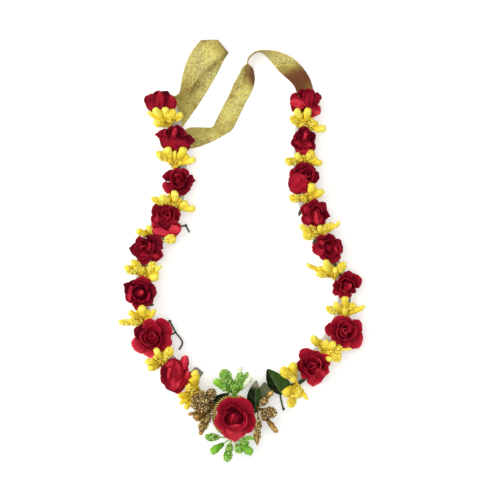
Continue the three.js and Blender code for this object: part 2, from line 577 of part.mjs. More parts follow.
function leaf(spec, grow) {
  const along = new THREE.Vector2(spec.tip[0] - spec.foot[0], spec.tip[1] - spec.foot[1]);
  const over = new THREE.Vector2(along.y, -along.x).normalize();
  const rows = [0, 0.25, 0.5, 0.75, 1].map((v) => [-1, 0, 1].map((u) => {
    const half = (spec.wide[u < 0 ? 0 : 1] + grow) * (0.16 + 0.84 * Math.sin(Math.PI * v)) * u;
    return new THREE.Vector3(
      spec.foot[0] + along.x * v + over.x * half, spec.foot[1] + along.y * v + over.y * half,
      spec.low + (spec.high - spec.low) * v + spec.fold * u * u * Math.sin(Math.PI * v));
  }));
  return sheetSolid(lengthened(rows, grow), paper + 2 * grow);
}

function rim(grow) {
  const ring = new THREE.TorusGeometry(rimRadius, cordRadius + grow, 4, 20);
  ring.translate(rimCentre[0], rimCentre[1], flowerBase + cordRadius);
  return solid(ring);
}

// A round bar along a smooth path through points [x, y, z].
function bar(points, radius, sides, steps) {
  const curve = new THREE.CatmullRomCurve3(points.map(vector), false, 'centripetal');
  const outline = new THREE.Shape();
  for (let k = 0; k <= sides; k++) {
    const angle = (2 * Math.PI * (k + 0.5)) / sides;
    const step = k ? 'lineTo' : 'moveTo';
    outline[step](radius * Math.cos(angle), radius * Math.sin(angle));
  }
  return solid(new THREE.ExtrudeGeometry(outline, { steps, bevelEnabled: false, extrudePath: curve }));
}

// The taped stem of one arm, with its loose ends.
function stem(name, grow) {
  const path = stemPaths[name].map(([x, y, lift]) => [x, y, stemHeight + lift]);
  const bodies = [bar(path, stemRadius + grow, 5, 24)];
  for (const twig of twigs[name]) bodies.push(bar(twig, twigRadius + grow, 4, twig.length));
  for (const knob of knobs[name]) bodies.push(ball(vector(knob), rootRadius + grow, 5));
  return join(bodies);
}

// A backing band; its bottom end is folded narrower.
function band(name, grow) {
  const path = bandPaths[name].map(([x, y, lift]) => new THREE.Vector3(x, y, lift + bandThick / 2));
  const curve = new THREE.CatmullRomCurve3(path, false, 'centripetal');
  const steps = 22;
  const rows = [];
  for (let i = 0; i <= steps; i++) {
    const half = (bandWidth / 2) * Math.min(1, 0.5 + (4 * (steps - i)) / steps) + grow;
    const middle = curve.getPointAt(i / steps);
    middle.z = Math.max(middle.z, bandThick / 2);
    const along = curve.getTangentAt(i / steps);
    const over = new THREE.Vector3(along.y, -along.x, 0).normalize();
    rows.push([-1, 1].map((u) => middle.clone().addScaledVector(over, u * half)));
  }
  return sheetSolid(lengthened(rows, grow), bandThick + 2 * grow);
}

function ribbon(grow) {
  const rows = ribbonEdges.map(([a, b, bulge]) => {
    const [left, right] = [vector(a), vector(b)];
    const out = left.clone().sub(right).normalize();
    left.addScaledVector(out, grow);
    right.addScaledVector(out, -grow);
    return [left, bulge ? vector(bulge) : left.clone().lerp(right, 0.5), right];
  });
  return sheetSolid(lengthened(rows, grow), ribbonThick + 2 * grow);
}

// Pieces in the order in which they are laid down: a later piece is trimmed clear of the earlier ones.
const pieces = [];
for (const [name, spec] of Object.entries(roses)) {
  pieces.push({ name, colour: colours.rose, make: (grow) => rose(spec, grow) });
}
pieces.push({ name: 'ribbon', colour: colours.ribbon, make: ribbon });
for (const name of Object.keys(bandPaths)) {
  pieces.push({ name, colour: colours.band, make: (grow) => band(name, grow) });
}
for (const name of Object.keys(stemPaths)) {
  pieces.push({ name, colour: colours.stem, make: (grow) => stem(name, grow) });
}
pieces.push({ name: 'cord_rim', colour: colours.cord, make: rim });
for (const [bunches, colour] of [[yellowBunches, colours.yellow], [greenBunches, colours.green],
  [goldBunches, colours.gold]]) {
  for (const [name, spec] of Object.entries(bunches)) {
    pieces.push({ name, colour, make: (grow) => bunch(spec, grow) });
  }
}
for (const [name, spec] of Object.entries(leaves)) {
  pieces.push({ name, colour: colours.leaf, make: (grow) => leaf(spec, grow) });
}

const meet = (a, b) => {
  const [p, q] = [a.boundingBox(), b.boundingBox()];
  return [0, 1, 2].every((k) => p.min[k] < q.max[k] && q.min[k] < p.max[k]);
};
const largest = (body) => body.decompose().reduce((a, b) => (b.volume() > a.volume() ? b : a));

const garland = new THREE.Group();
const laid = [];
for (const { name, colour, make } of pieces) {
  const whole = make(0);
  const cutters = laid.filter((shell) => meet(whole, shell));
  const body = cutters.length ? largest(whole.subtract(join(cutters)).simplify(0.02)) : whole;
  laid.push(make(gap));
  const mesh = new THREE.Mesh(geometryOf(body), colour);
  mesh.name = name;
  garland.add(mesh);
}

export default garland;
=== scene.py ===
import json
import math
import random

import bpy
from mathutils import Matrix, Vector, noise

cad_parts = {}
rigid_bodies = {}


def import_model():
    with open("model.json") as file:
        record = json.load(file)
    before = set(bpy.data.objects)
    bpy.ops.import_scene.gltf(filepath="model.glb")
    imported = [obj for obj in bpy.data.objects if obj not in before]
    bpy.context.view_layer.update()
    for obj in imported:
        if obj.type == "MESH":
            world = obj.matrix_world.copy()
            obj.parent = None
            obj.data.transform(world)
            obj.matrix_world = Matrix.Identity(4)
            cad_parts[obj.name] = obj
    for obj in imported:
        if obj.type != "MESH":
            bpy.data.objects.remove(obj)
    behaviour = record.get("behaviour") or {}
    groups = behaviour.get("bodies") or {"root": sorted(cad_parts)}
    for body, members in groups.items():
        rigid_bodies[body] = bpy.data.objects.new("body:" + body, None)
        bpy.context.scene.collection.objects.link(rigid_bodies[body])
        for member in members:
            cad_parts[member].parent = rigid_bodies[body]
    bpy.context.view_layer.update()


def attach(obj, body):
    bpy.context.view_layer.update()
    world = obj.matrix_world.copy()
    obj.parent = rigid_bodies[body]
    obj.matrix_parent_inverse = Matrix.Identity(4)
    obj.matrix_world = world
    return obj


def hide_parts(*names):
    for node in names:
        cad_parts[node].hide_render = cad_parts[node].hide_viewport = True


noise.seed_set(34)
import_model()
mm = 0.001
fullTurn = 2 * math.pi

# Heights shared by the pieces, in millimetres above the surface that the garland lies on.
heights = {"stem": 2.5, "flower": 4.3, "root": 5.4}


# Node trees.
def combining(operation, reflected=False):
    # A method that adds a Math node for a wire and what stands beside it.
    def combine(self, *others):
        values = (*others, self) if reflected else (self, *others)
        return self.builder.node("ShaderNodeMath", {"operation": operation}, dict(enumerate(values)))
    return combine


class Wire:
    # One output socket; arithmetic on it adds Math nodes to its tree.
    def __init__(self, builder, socket):
        self.builder, self.socket = builder, socket

    def __getitem__(self, name):
        return Wire(self.builder, self.socket.node.outputs[name])

    __add__, __radd__ = combining("ADD"), combining("ADD", True)
    __sub__, __rsub__ = combining("SUBTRACT"), combining("SUBTRACT", True)
    __mul__, __rmul__ = combining("MULTIPLY"), combining("MULTIPLY", True)
    __truediv__, __pow__, __gt__ = combining("DIVIDE"), combining("POWER"), combining("GREATER_THAN")
    sine, fraction = combining("SINE"), combining("FRACT")

    def clamped(self):
        return self.builder.node("ShaderNodeClamp", {}, {0: self})


class Builder:
    # Adds nodes to a tree: settings first, then the values or wires of the sockets.
    def __init__(self, tree):
        self.tree = tree

    def feed(self, socket, value):
        if isinstance(value, Wire):
            self.tree.links.new(value.socket, socket)
        else:
            socket.default_value = value

    def node(self, kind, settings=None, sockets=None, output=0):
        made = self.tree.nodes.new(kind)
        for name, value in (settings or {}).items():
            setattr(made, name, value)
        for name, value in (sockets or {}).items():
            self.feed(made.inputs[name], value)
        return Wire(self, made.outputs[output]) if made.outputs else made


class Finish(Builder):
    # A material with one Principled shader.
    longNames = {"Base": "Base Color", "Sheen": "Sheen Weight", "Specular": "Specular IOR Level"}

    def __init__(self, name, **fixed):
        self.material = bpy.data.materials.new(name)
        self.material.use_nodes = True
        super().__init__(self.material.node_tree)
        self.tree.nodes.clear()
        self.shader = self.tree.nodes.new("ShaderNodeBsdfPrincipled")
        output = self.tree.nodes.new("ShaderNodeOutputMaterial")
        self.tree.links.new(self.shader.outputs[0], output.inputs[0])
        self.set(**fixed)

    def set(self, **values):
        for name, value in values.items():
            self.feed(self.shader.inputs[self.longNames.get(name, name)], value)

    def mix(self, factor, a, b):
        a, b = [value if isinstance(value, Wire) else (*value, 1) for value in (a, b)]
        return self.node("ShaderNodeMix", {"data_type": "RGBA"}, {0: factor, 6: a, 7: b}, output=2)

    def ramp(self, tone, dark, middle, bright):
        low = self.mix((tone * 2).clamped(), dark, middle)
        return self.mix((tone * 2 - 1).clamped(), low, bright)

    def place(self):
        return self.node("ShaderNodeTexCoord")["Object"]

    def cloud(self, scale, detail=3):
        return self.node("ShaderNodeTexNoise", {}, {"Vector": self.place(), "Scale": scale, "Detail": detail})

    def attribute(self, name):
        return self.node("ShaderNodeAttribute", {"attribute_name": name})["Fac"]

    def bump(self, height, depth, strength):
        sockets = {"Height": height, "Distance": depth, "Strength": strength}
        self.set(Normal=self.node("ShaderNodeBump", {}, sockets))


# Colours painted for shade, for middle light and for full light; the glitters have no middle one.
shadeToLightColours = {
    "crimson": ((0.105, 0.001, 0.009), (0.39, 0.008, 0.024), (0.84, 0.060, 0.090)),
    "yellow": ((0.40, 0.20, 0.003), (0.90, 0.68, 0.028), (1.0, 0.94, 0.17)),
    "green": ((0.03, 0.12, 0.003), (0.15, 0.42, 0.015), (0.38, 0.76, 0.06)),
    "gold": ((0.035, 0.016, 0.003), (0.25, 0.13, 0.022), (0.78, 0.50, 0.16)),
    "greenGlitter": ((0.10, 0.38, 0.008), (0.80, 1.0, 0.34)),
    "goldGlitter": ((0.12, 0.055, 0.008), (1.0, 0.82, 0.38)),
}
paleTip = (0.80, 0.84, 0.60)


def rosePaper():
    finish = Finish("crimsonPaper", Roughness=0.65, Specular=0.06)
    # The tone attribute is painted light and shade on the petals: darker at their feet and sides, lighter at
    # their rims and on lit petals; the cloud adds random mottling.
    tone = finish.attribute("tone") + 0.45 * (finish.cloud(260) - 0.5)
    finish.set(Base=finish.ramp(tone, *shadeToLightColours["crimson"]))
    finish.bump(finish.cloud(2600, 5) + 0.6 * finish.cloud(900, 2), 0.00022, 0.5)
    return finish.material


def budPaste(dye, roughness, metal=0.0):
    finish = Finish(dye + "Paste", Roughness=roughness, Specular=0.4, Metallic=metal)
    # On the bud bodies the tone attribute is painted shade, darker towards their roots and between a crinkled
    # bud's grains; on the grains it differs at random. The cloud adds random mottling.
    tone = finish.attribute("tone") + 0.3 * (finish.cloud(500) - 0.5)
    finish.set(Base=finish.mix(finish.attribute("pale"), finish.ramp(tone, *shadeToLightColours[dye]), paleTip))
    finish.bump(finish.cloud(1300, 4), 0.0004, 0.8)
    return finish.material


def glitter(name):
    finish = Finish(name, Roughness=0.25, Metallic=0.35)
    finish.set(Base=finish.mix(finish.attribute("tone") ** 1.6, *shadeToLightColours[name]))
    return finish.material


def leafCloth():
    finish = Finish("leafCloth", Roughness=0.6, Specular=0.06)
    tone = finish.attribute("tone")
    vein = finish.attribute("vein")
    # The tone attribute paints light and shade: the shaded half of a folded leaf near black, the lit half
    # green.
    cloth = finish.mix(tone, (0.007, 0.012, 0.003), (0.042, 0.115, 0.014))
    base = finish.mix(finish.attribute("pale"), cloth, (0.50, 0.44, 0.30))
    finish.set(Base=finish.mix(vein * 0.3, base, (0.16, 0.24, 0.10)))
    weave = finish.node("ShaderNodeTexWave", {"bands_direction": "DIAGONAL"},
                        {"Vector": finish.place(), "Scale": 900.0, "Distortion": 1.5})
    finish.bump(vein * 1.2 + weave * 0.12, 0.0002, 0.6)
    return finish.material


def stemTape():
    finish = Finish("stemTape", Roughness=0.7)
    finish.set(Base=finish.mix(finish.cloud(700), (0.014, 0.028, 0.010), (0.06, 0.10, 0.035)))
    finish.bump(finish.cloud(2200, 4), 0.0002, 0.6)
    return finish.material


def wovenBand():
    finish = Finish("wovenBand", Roughness=0.6, Sheen=0.2)
    across = finish.attribute("across")
    along = finish.attribute("along")
    threads = (across * 9.0).sine() * 0.5 + (along * 9.0).sine() * 0.5
    shade = finish.cloud(300) * 0.4 + threads * 0.15 + 0.5
    cloth = finish.mix(shade, (0.74, 0.76, 0.72), (0.92, 0.93, 0.90))
    finish.set(Base=finish.mix(finish.attribute("tone"), cloth, (0.30, 0.29, 0.24)))
    finish.bump(threads, 0.00015, 0.8)
    return finish.material


def wovenGold():
    finish = Finish("wovenGold", Metallic=0.3)
    across, along = finish.attribute("across"), finish.attribute("along")
    cell = finish.node("ShaderNodeCombineXYZ", {}, {"X": across * 1.9, "Y": along * 1.2, "Z": 0.0})
    speck = finish.node("ShaderNodeTexWhiteNoise", {"noise_dimensions": "3D"},
                        {"Vector": finish.node("ShaderNodeVectorMath", {"operation": "FLOOR"}, {0: cell})})
    # The tone attribute paints shade and dark reflection along the ribbon, turning it brown above zero; below
    # zero it adds painted glints.
    shadeAndGlint = finish.attribute("tone")
    patch = ((finish.cloud(80, 2) - 0.40) * 6.0).clamped()
    light = finish.mix(patch, (0.46, 0.29, 0.03), (1.0, 0.88, 0.19))
    # Bright specks are painted glints of the glitter.
    sparkle = finish.mix(speck ** 1.5 + 0.9 * (shadeAndGlint * -1), light, (1.0, 0.92, 0.34))
    flecked = finish.mix((speck * 7.31).fraction() ** 3.0 * 0.6, sparkle, (0.20, 0.12, 0.02))
    finish.set(Base=finish.mix(shadeAndGlint, flecked, (0.23, 0.075, 0.020)), Roughness=0.35 + 0.25 * (1 - speck))
    threads = (across * 14.0).sine() + (along * 14.0).sine()
    finish.bump(threads + speck * 1.5, 0.00012, 0.7)
    return finish.material


def goldThread():
    finish = Finish("goldThread", Metallic=0.5, Roughness=0.35)
    gold = finish.mix(finish.cloud(1500), (0.66, 0.42, 0.05), (0.98, 0.78, 0.20))
    finish.set(Base=finish.mix(finish.attribute("strand"), (0.05, 0.05, 0.012), gold))
    finish.bump(finish.cloud(3000), 0.00015, 0.6)
    return finish.material


finishes = {
    "rose": rosePaper(), "leaf": leafCloth(), "stem": stemTape(), "band": wovenBand(), "ribbon": wovenGold(),
    "cord": goldThread(), "yellow": budPaste("yellow", 0.5), "green": budPaste("green", 0.4),
    "gold": budPaste("gold", 0.28, 0.6), "greenGlitter": glitter("greenGlitter"),
    "goldGlitter": glitter("goldGlitter"),
}
print("materials ready")


# Meshes.
def link(name, data):
    # A new object in the scene.
    made = bpy.data.objects.new(name, data)
    bpy.context.scene.collection.objects.link(made)
    return made


class Shape:
    # Vertices in millimetres with their attributes, and the faces between them.
    def __init__(self):
        self.points, self.faces, self.values = [], [], {}

    def add(self, points, faces, **values):
        start = len(self.points)
        for name in values:
            self.values.setdefault(name, [0.0] * start)
        self.points += points
        self.faces += [[start + k for k in face] for face in faces]
        for name, known in self.values.items():
            given = values.get(name, 0.0)
            known += given if isinstance(given, list) else [given] * len(points)

    def build(self, name, material):
        mesh = bpy.data.meshes.new(name)
        mesh.from_pydata([Vector(p) * mm for p in self.points], [], self.faces)
        for key, numbers in self.values.items():
            mesh.attributes.new(key, "FLOAT", "POINT").data.foreach_set("value", numbers)
        mesh.polygons.foreach_set("use_smooth", [True] * len(mesh.polygons))
        mesh.materials.append(material)
        return link(name, mesh)


def settle(piece, slot, *nodes):
    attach(piece, "root")
    if nodes:
        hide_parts(*nodes)
    return piece


def addSheet(shape, rows, thickness, **values):
    # A closed sheet round a grid of middle points; values are grids of the same size.
    down, across = len(rows), len(rows[0])
    sides = [[], []]

    def at(i, j):
        return rows[min(max(i, 0), down - 1)][min(max(j, 0), across - 1)]

    for i in range(down):
        for j in range(across):
            normal = (at(i, j + 1) - at(i, j - 1)).cross(at(i + 1, j) - at(i - 1, j)).normalized()
            sides[0].append(rows[i][j] + normal * thickness / 2)
            sides[1].append(rows[i][j] - normal * thickness / 2)
    under = down * across
    faces = []
    for i in range(down - 1):
        for j in range(across - 1):
            a = i * across + j
            b, c, d = a + 1, a + across + 1, a + across
            faces += [[a, b, c, d], [under + d, under + c, under + b, under + a]]
    edge = list(range(across)) + [i * across + across - 1 for i in range(1, down)]
    edge += [(down - 1) * across + j for j in range(across - 2, -1, -1)]
    edge += [i * across for i in range(down - 2, 0, -1)]
    for k, a in enumerate(edge):
        b = edge[(k + 1) % len(edge)]
        faces.append([under + a, under + b, b, a])
    flat = {name: [v for row in grid for v in row] * 2 for name, grid in values.items()}
    shape.add(sides[0] + sides[1], faces, **flat)


def addTurned(shape, start, axis, rings, sides, lumps=None, **values):
    # A round body along an axis: rings are [distance, radius] from one closed end to the other.
    side = axis.orthogonal().normalized()
    other = axis.cross(side)
    points = [start + axis * rings[0][0]]
    for distance, radius in rings[1:-1]:
        for k in range(sides):
            angle = fullTurn * k / sides
            out = side * math.cos(angle) + other * math.sin(angle)
            point = start + axis * distance + out * radius
            points.append(point + out * lumps(point) if lumps else point)
    points.append(start + axis * rings[-1][0])
    last = len(points) - 1
    faces = []

    def ring(i, k):
        return 1 + i * sides + k % sides

    for k in range(sides):
        faces.append([0, ring(0, k + 1), ring(0, k)])
        faces.append([last, ring(len(rings) - 3, k), ring(len(rings) - 3, k + 1)])
        for i in range(len(rings) - 3):
            faces.append([ring(i, k), ring(i, k + 1), ring(i + 1, k + 1), ring(i + 1, k)])
    flat = {name: [grid[0]] + [v for v in grid[1:-1] for _ in range(sides)] + [grid[-1]]
            if isinstance(grid, list) else grid for name, grid in values.items()}
    shape.add(points, faces, **flat)


def smoothPath(points, steps):
    # A Catmull-Rom path through the points, with the given steps in each stretch.
    ends = [2 * points[0] - points[1], *points, 2 * points[-1] - points[-2]]
    path = []
    for a, b, c, d in zip(ends, ends[1:], ends[2:], ends[3:]):
        for k in range(steps):
            t = k / steps
            path.append(0.5 * (2 * b + (c - a) * t + (2 * a - 5 * b + 4 * c - d) * t ** 2
                               + (3 * b - 3 * c + d - a) * t ** 3))
    return path + [points[-1]]


# Roses. Each has the middle of its outline, the heart's place from there, height, lift, spin, tone, the way
# its inner petals lie, and its outer petals as (bearing, reach, pointedness, rise, tone, breadth if not 1).
# A petal's tone is painted light and shade: lighter where the petal catches the light, darker where it is
# shaded.
roses = {
    "rose_left_1": ((-49.9, 91.7), (0.5, 2), 8.6, 2.4, 20, 0.34, "lobes", [
        (176, 9.6, 0.1, 0.42, 0), (235, 8.4, 0, 0.4, -0.1), (300, 8, 0.1, 0.4, 0),
        (-6, 9.4, 0, 0.42, 0.1), (60, 7.6, 0.2, 0.45, -0.15), (120, 7.6, 0.1, 0.45, -0.1)]),
    "rose_left_2": ((-40.9, 69.4), (-0.9, 2.8), 8.4, 1.1, 130, 0.34, "boat", [
        (168, 11.4, 1, 0.5, 0.1), (222, 7.6, 0, 0.35, 0.1), (-90, 8.4, 0.6, 0.25, 0),
        (-48, 7.8, 0.1, 0.35, -0.1), (-5, 11.9, 1, 0.45, -0.15), (48, 7.8, 0.2, 0.8, -0.05),
        (110, 7.2, 0.2, 0.8, 0)]),
    "rose_left_3": ((-38.8, 43.1), (-0.5, 3.2), 9, 0, 250, 0.46, "spiral", [
        (167, 9.5, 1, 0.65, -0.05), (198, 10.3, 0, 0.3, 0.35, 1.5), (-66, 9.2, 0.3, 0.35, -0.1),
        (2, 10, 1, 0.6, -0.1), (48, 8.2, 0.2, 0.75, 0.1), (96, 7.6, 0.2, 0.8, 0)]),
    "rose_left_4": ((-46.8, 18.6), (1.2, 4.8), 9.4, 0, 60, 0.43, "spiral", [
        (227, 10.4, 0.1, 0.3, 0.3), (-36, 11, 0.1, 0.3, 0.3), (133, 11, 0.2, 0.65, -0.05, 1.3),
        (20, 9.6, 0.2, 0.65, -0.1), (80, 9.2, 0.1, 0.8, -0.1, 1.3), (176, 9, 0.1, 0.6, 0.05)]),
    "rose_left_5": ((-58.3, 0.6), (-3.4, 0.6), 7.6, 0, 300, 0.33, "slots", [
        (173, 9.9, 1, 0.6, -0.05), (-100, 8.8, 0.8, 0.55, 0.1), (-21, 10.3, 1, 0.6, 0),
        (46, 11, 0.8, 0.65, -0.1), (117, 9, 0.8, 0.7, 0)]),
    "rose_left_6": ((-62.9, -26), (1.2, 0.2), 9, 0, 10, 0.36, "well", [
        (153, 11, 1, 0.5, -0.2), (208, 9.2, 0.2, 0.5, 0.2), (-101, 10.1, 0.7, 0.4, 0.15),
        (-50, 9.6, 0.1, 0.6, -0.15), (10, 10, 0.1, 0.65, -0.1), (80, 10, 0.2, 0.6, 0.2)]),
    "rose_left_7": ((-55.8, -53.9), (0.4, 2.6), 10, 0, 190, 0.52, "cup", [
        (35, 13.8, 0, 0.45, 0.15), (101, 11.2, 0.1, 0.6, 0.2), (158, 11.7, 0.3, 0.4, -0.25),
        (208, 12.8, 0, 0.35, 0.42), (-95, 11.6, 0.2, 0.35, 0.42), (-14, 12.4, 0.3, 0.5, 0.05)]),
    "rose_left_8": ((-40.9, -76), (-4.8, 0), 9.2, 0, 95, 0.46, "lobes", [
        (75, 8.8, 0.1, 0.6, 0), (-24, 9.4, 0.1, 0.35, 0.25), (-83, 11.8, 0.2, 0.4, 0.1),
        (151, 9, 0.2, 0.7, 0), (228, 9.2, 0.1, 0.6, 0), (20, 8.6, 0.1, 0.5, 0.2)]),
    "rose_right_1": ((39.4, 91.5), (0.6, 4), 8.8, 1.1, 330, 0.40, "lobes", [
        (160, 9.9, 0.2, 0.5, 0.15), (212, 8.8, 0.1, 0.4, 0), (-94, 8.4, 0.1, 0.4, -0.1),
        (-36, 10.2, 0, 0.35, 0.35), (18, 9.9, 0.2, 0.6, -0.05), (60, 8.6, 0.1, 0.7, 0),
        (112, 8.2, 0.1, 0.7, -0.1)]),
    "rose_right_2": ((38.8, 67.9), (-0.3, 3.6), 9, 0, 150, 0.32, "tight", [
        (90, 8.4, 0.1, 0.8, -0.05), (22, 7.6, 0.2, 0.6, -0.1), (-40, 7.8, 0.1, 0.45, 0),
        (-100, 8.8, 0, 0.4, 0.2), (206, 7.4, 0.1, 0.5, 0, 1.5), (150, 7.4, 0.2, 0.6, 0, 1.4)]),
    "rose_right_3": ((38.8, 45), (3, 2.8), 9.2, 0, 40, 0.41, "shut", [
        (208, 10, 0, 0.3, 0.3), (119, 9, 0.1, 0.6, -0.05, 1.4), (46, 9.3, 0.1, 0.75, -0.1),
        (-6, 8.8, 0.2, 0.7, -0.1, 1.3), (-72, 9.3, 0.2, 0.45, 0.1), (165, 9.4, 0, 0.45, 0.1, 1.4)]),
    "rose_right_4": ((45.6, 22.7), (0.4, 1), 9.2, 0, 280, 0.43, "slots", [
        (-6, 9, 1, 0.5, -0.1), (220, 9, 0.2, 0.35, 0.2), (98, 8.6, 0.1, 0.75, 0),
        (-78, 9.4, 0.1, 0.4, 0.2), (155, 9.2, 0.1, 0.6, -0.05), (52, 8.8, 0.2, 0.75, -0.05)]),
    "rose_right_5": ((53.3, 2.2), (4.6, -0.6), 9.2, 0, 110, 0.41, "spiral", [
        (192, 9.8, 0, 0.35, 0.3), (86, 8.6, 0.4, 0.6, -0.05, 1.3), (33, 8.8, 0, 0.75, -0.1, 1.4),
        (-12, 9.2, 0, 0.7, -0.15, 1.4), (-59, 9.9, 0.1, 0.55, 0.05), (231, 8.2, 0.1, 0.4, 0.15),
        (140, 8.6, 0.2, 0.5, 0.1)]),
    "rose_right_6": ((65.1, -21.1), (0.7, -0.6), 8.8, 0, 220, 0.48, "slots", [
        (83, 8.4, 0.3, 0.6, 0), (23, 9.8, 0.2, 0.55, 0.05), (-108, 8.8, 0.2, 0.45, 0.1),
        (212, 9.6, 0.1, 0.4, 0.05), (182, 8.2, 0.1, 0.45, -0.1), (-39, 6.4, 0.1, 0.6, -0.1),
        (134, 6.6, 0.1, 0.6, 0)]),
    "rose_right_7": ((63.2, -50.5), (1.4, 1), 9.2, 0, 350, 0.55, "tight", [
        (114, 10.7, 0.1, 0.5, 0.2), (164, 11.1, 0.1, 0.4, 0.05), (29, 11.8, 0.2, 0.45, 0.1),
        (-35, 12.6, 0, 0.35, 0.2), (-88, 9.8, 0, 0.35, 0.25), (220, 8.6, 0.1, 0.4, 0.1),
        (72, 9.6, 0.1, 0.5, -0.05)]),
    "rose_right_8": ((45, -71.9), (-2, 1.9), 9.4, 0, 170, 0.54, "hollow", [
        (120, 12.1, 0.1, 0.5, 0.05), (173, 10.4, 0.1, 0.45, -0.1), (34, 10.9, 0.1, 0.5, 0.1),
        (-17, 9.6, 0.2, 0.5, 0.1), (-92, 11.4, 0.4, 0.35, 0.2), (221, 9, 0.1, 0.4, 0.05),
        (75, 9.8, 0.1, 0.55, 0)]),
    "rose_centre": ((-4.3, -103.6), (-0.2, 0.4), 11, 0, 45, 0.50, "well", [
        (-88, 13.8, 0.5, 0.35, 0.34), (-19, 13.2, 0.1, 0.4, 0.2), (56, 13.4, 0.1, 0.5, 0.1),
        (122, 12.8, 0, 0.5, 0.1), (194, 11.9, 0, 0.4, 0.26)]),
}
# The ways that inner petals lie: each as (bearing from the rose's spin, foot, rim and height as shares of the
# rose, half span in degrees, tone), and the rolled heart as (turns, outer and inner radius share, top, tone).
# Their tones are painted light and shade on each inner petal and on the heart.
lays = {
    "spiral": {"petals": [(0, 0.24, 0.62, 0.80, 72, 0.06), (122, 0.22, 0.58, 0.86, 76, -0.10),
                          (246, 0.20, 0.54, 0.90, 80, 0.10), (64, 0.14, 0.36, 0.97, 96, -0.04)],
               "heart": (1.4, 0.28, 0.08, 1.0, 0.08)},
    "tight": {"petals": [(0, 0.3, 0.66, 0.76, 80, 0.02), (115, 0.28, 0.60, 0.84, 82, -0.06),
                         (238, 0.24, 0.54, 0.90, 84, 0.0), (70, 0.2, 0.44, 0.95, 90, -0.08),
                         (200, 0.16, 0.33, 1.0, 90, 0.04)],
              "heart": (1.2, 0.22, 0.06, 1.0, 0.26)},
    "cup": {"petals": [(0, 0.30, 0.60, 0.76, 70, 0.14), (118, 0.30, 0.58, 0.80, 72, -0.04),
                       (236, 0.30, 0.60, 0.78, 74, 0.08), (60, 0.26, 0.46, 0.90, 104, 0.02)],
            "heart": (1.1, 0.25, 0.06, 0.88, 0.14)},
    "hollow": {"petals": [(0, 0.30, 0.66, 0.80, 66, -0.1), (100, 0.30, 0.64, 0.82, 70, 0.1),
                          (185, 0.36, 0.56, 0.94, 62, 0.3), (282, 0.26, 0.54, 0.88, 78, -0.05)],
               "heart": (1.2, 0.28, 0.06, 0.92, 0.14)},
    "shut": {"petals": [(150, 0.26, 0.62, 0.84, 104, 0.06), (20, 0.24, 0.50, 0.94, 92, -0.06),
                        (268, 0.22, 0.46, 0.98, 84, 0.1)],
             "heart": (1.1, 0.26, 0.10, 0.96, 0.0)},
    "slots": {"petals": [(10, 0.30, 0.62, 0.80, 70, 0.04), (135, 0.28, 0.60, 0.84, 74, -0.06),
                         (255, 0.28, 0.58, 0.80, 76, 0.1)],
              "heart": (0.9, 0.34, 0.10, 0.94, 0.1)},
    "boat": {"petals": [(140, 0.34, 0.56, 0.50, 74, 0.1), (10, 0.34, 0.62, 0.86, 70, -0.22),
                        (265, 0.28, 0.60, 0.88, 72, -0.2)],
             "heart": (0.6, 0.22, 0.08, 0.92, -0.1)},
    "lobes": {"petals": [(70, 0.3, 0.56, 0.7, 90, -0.12)], "heart": (0.8, 0.2, 0.05, 0.5, -0.15)},
    "well": {"petals": [(-60, 0.36, 0.64, 0.86, 66, 0.2), (60, 0.36, 0.60, 0.80, 70, 0.0),
                        (150, 0.34, 0.58, 0.78, 72, -0.06), (230, 0.36, 0.60, 0.72, 66, 0.06)],
             "heart": (1.0, 0.36, 0.2, 0.62, -0.3)},
}
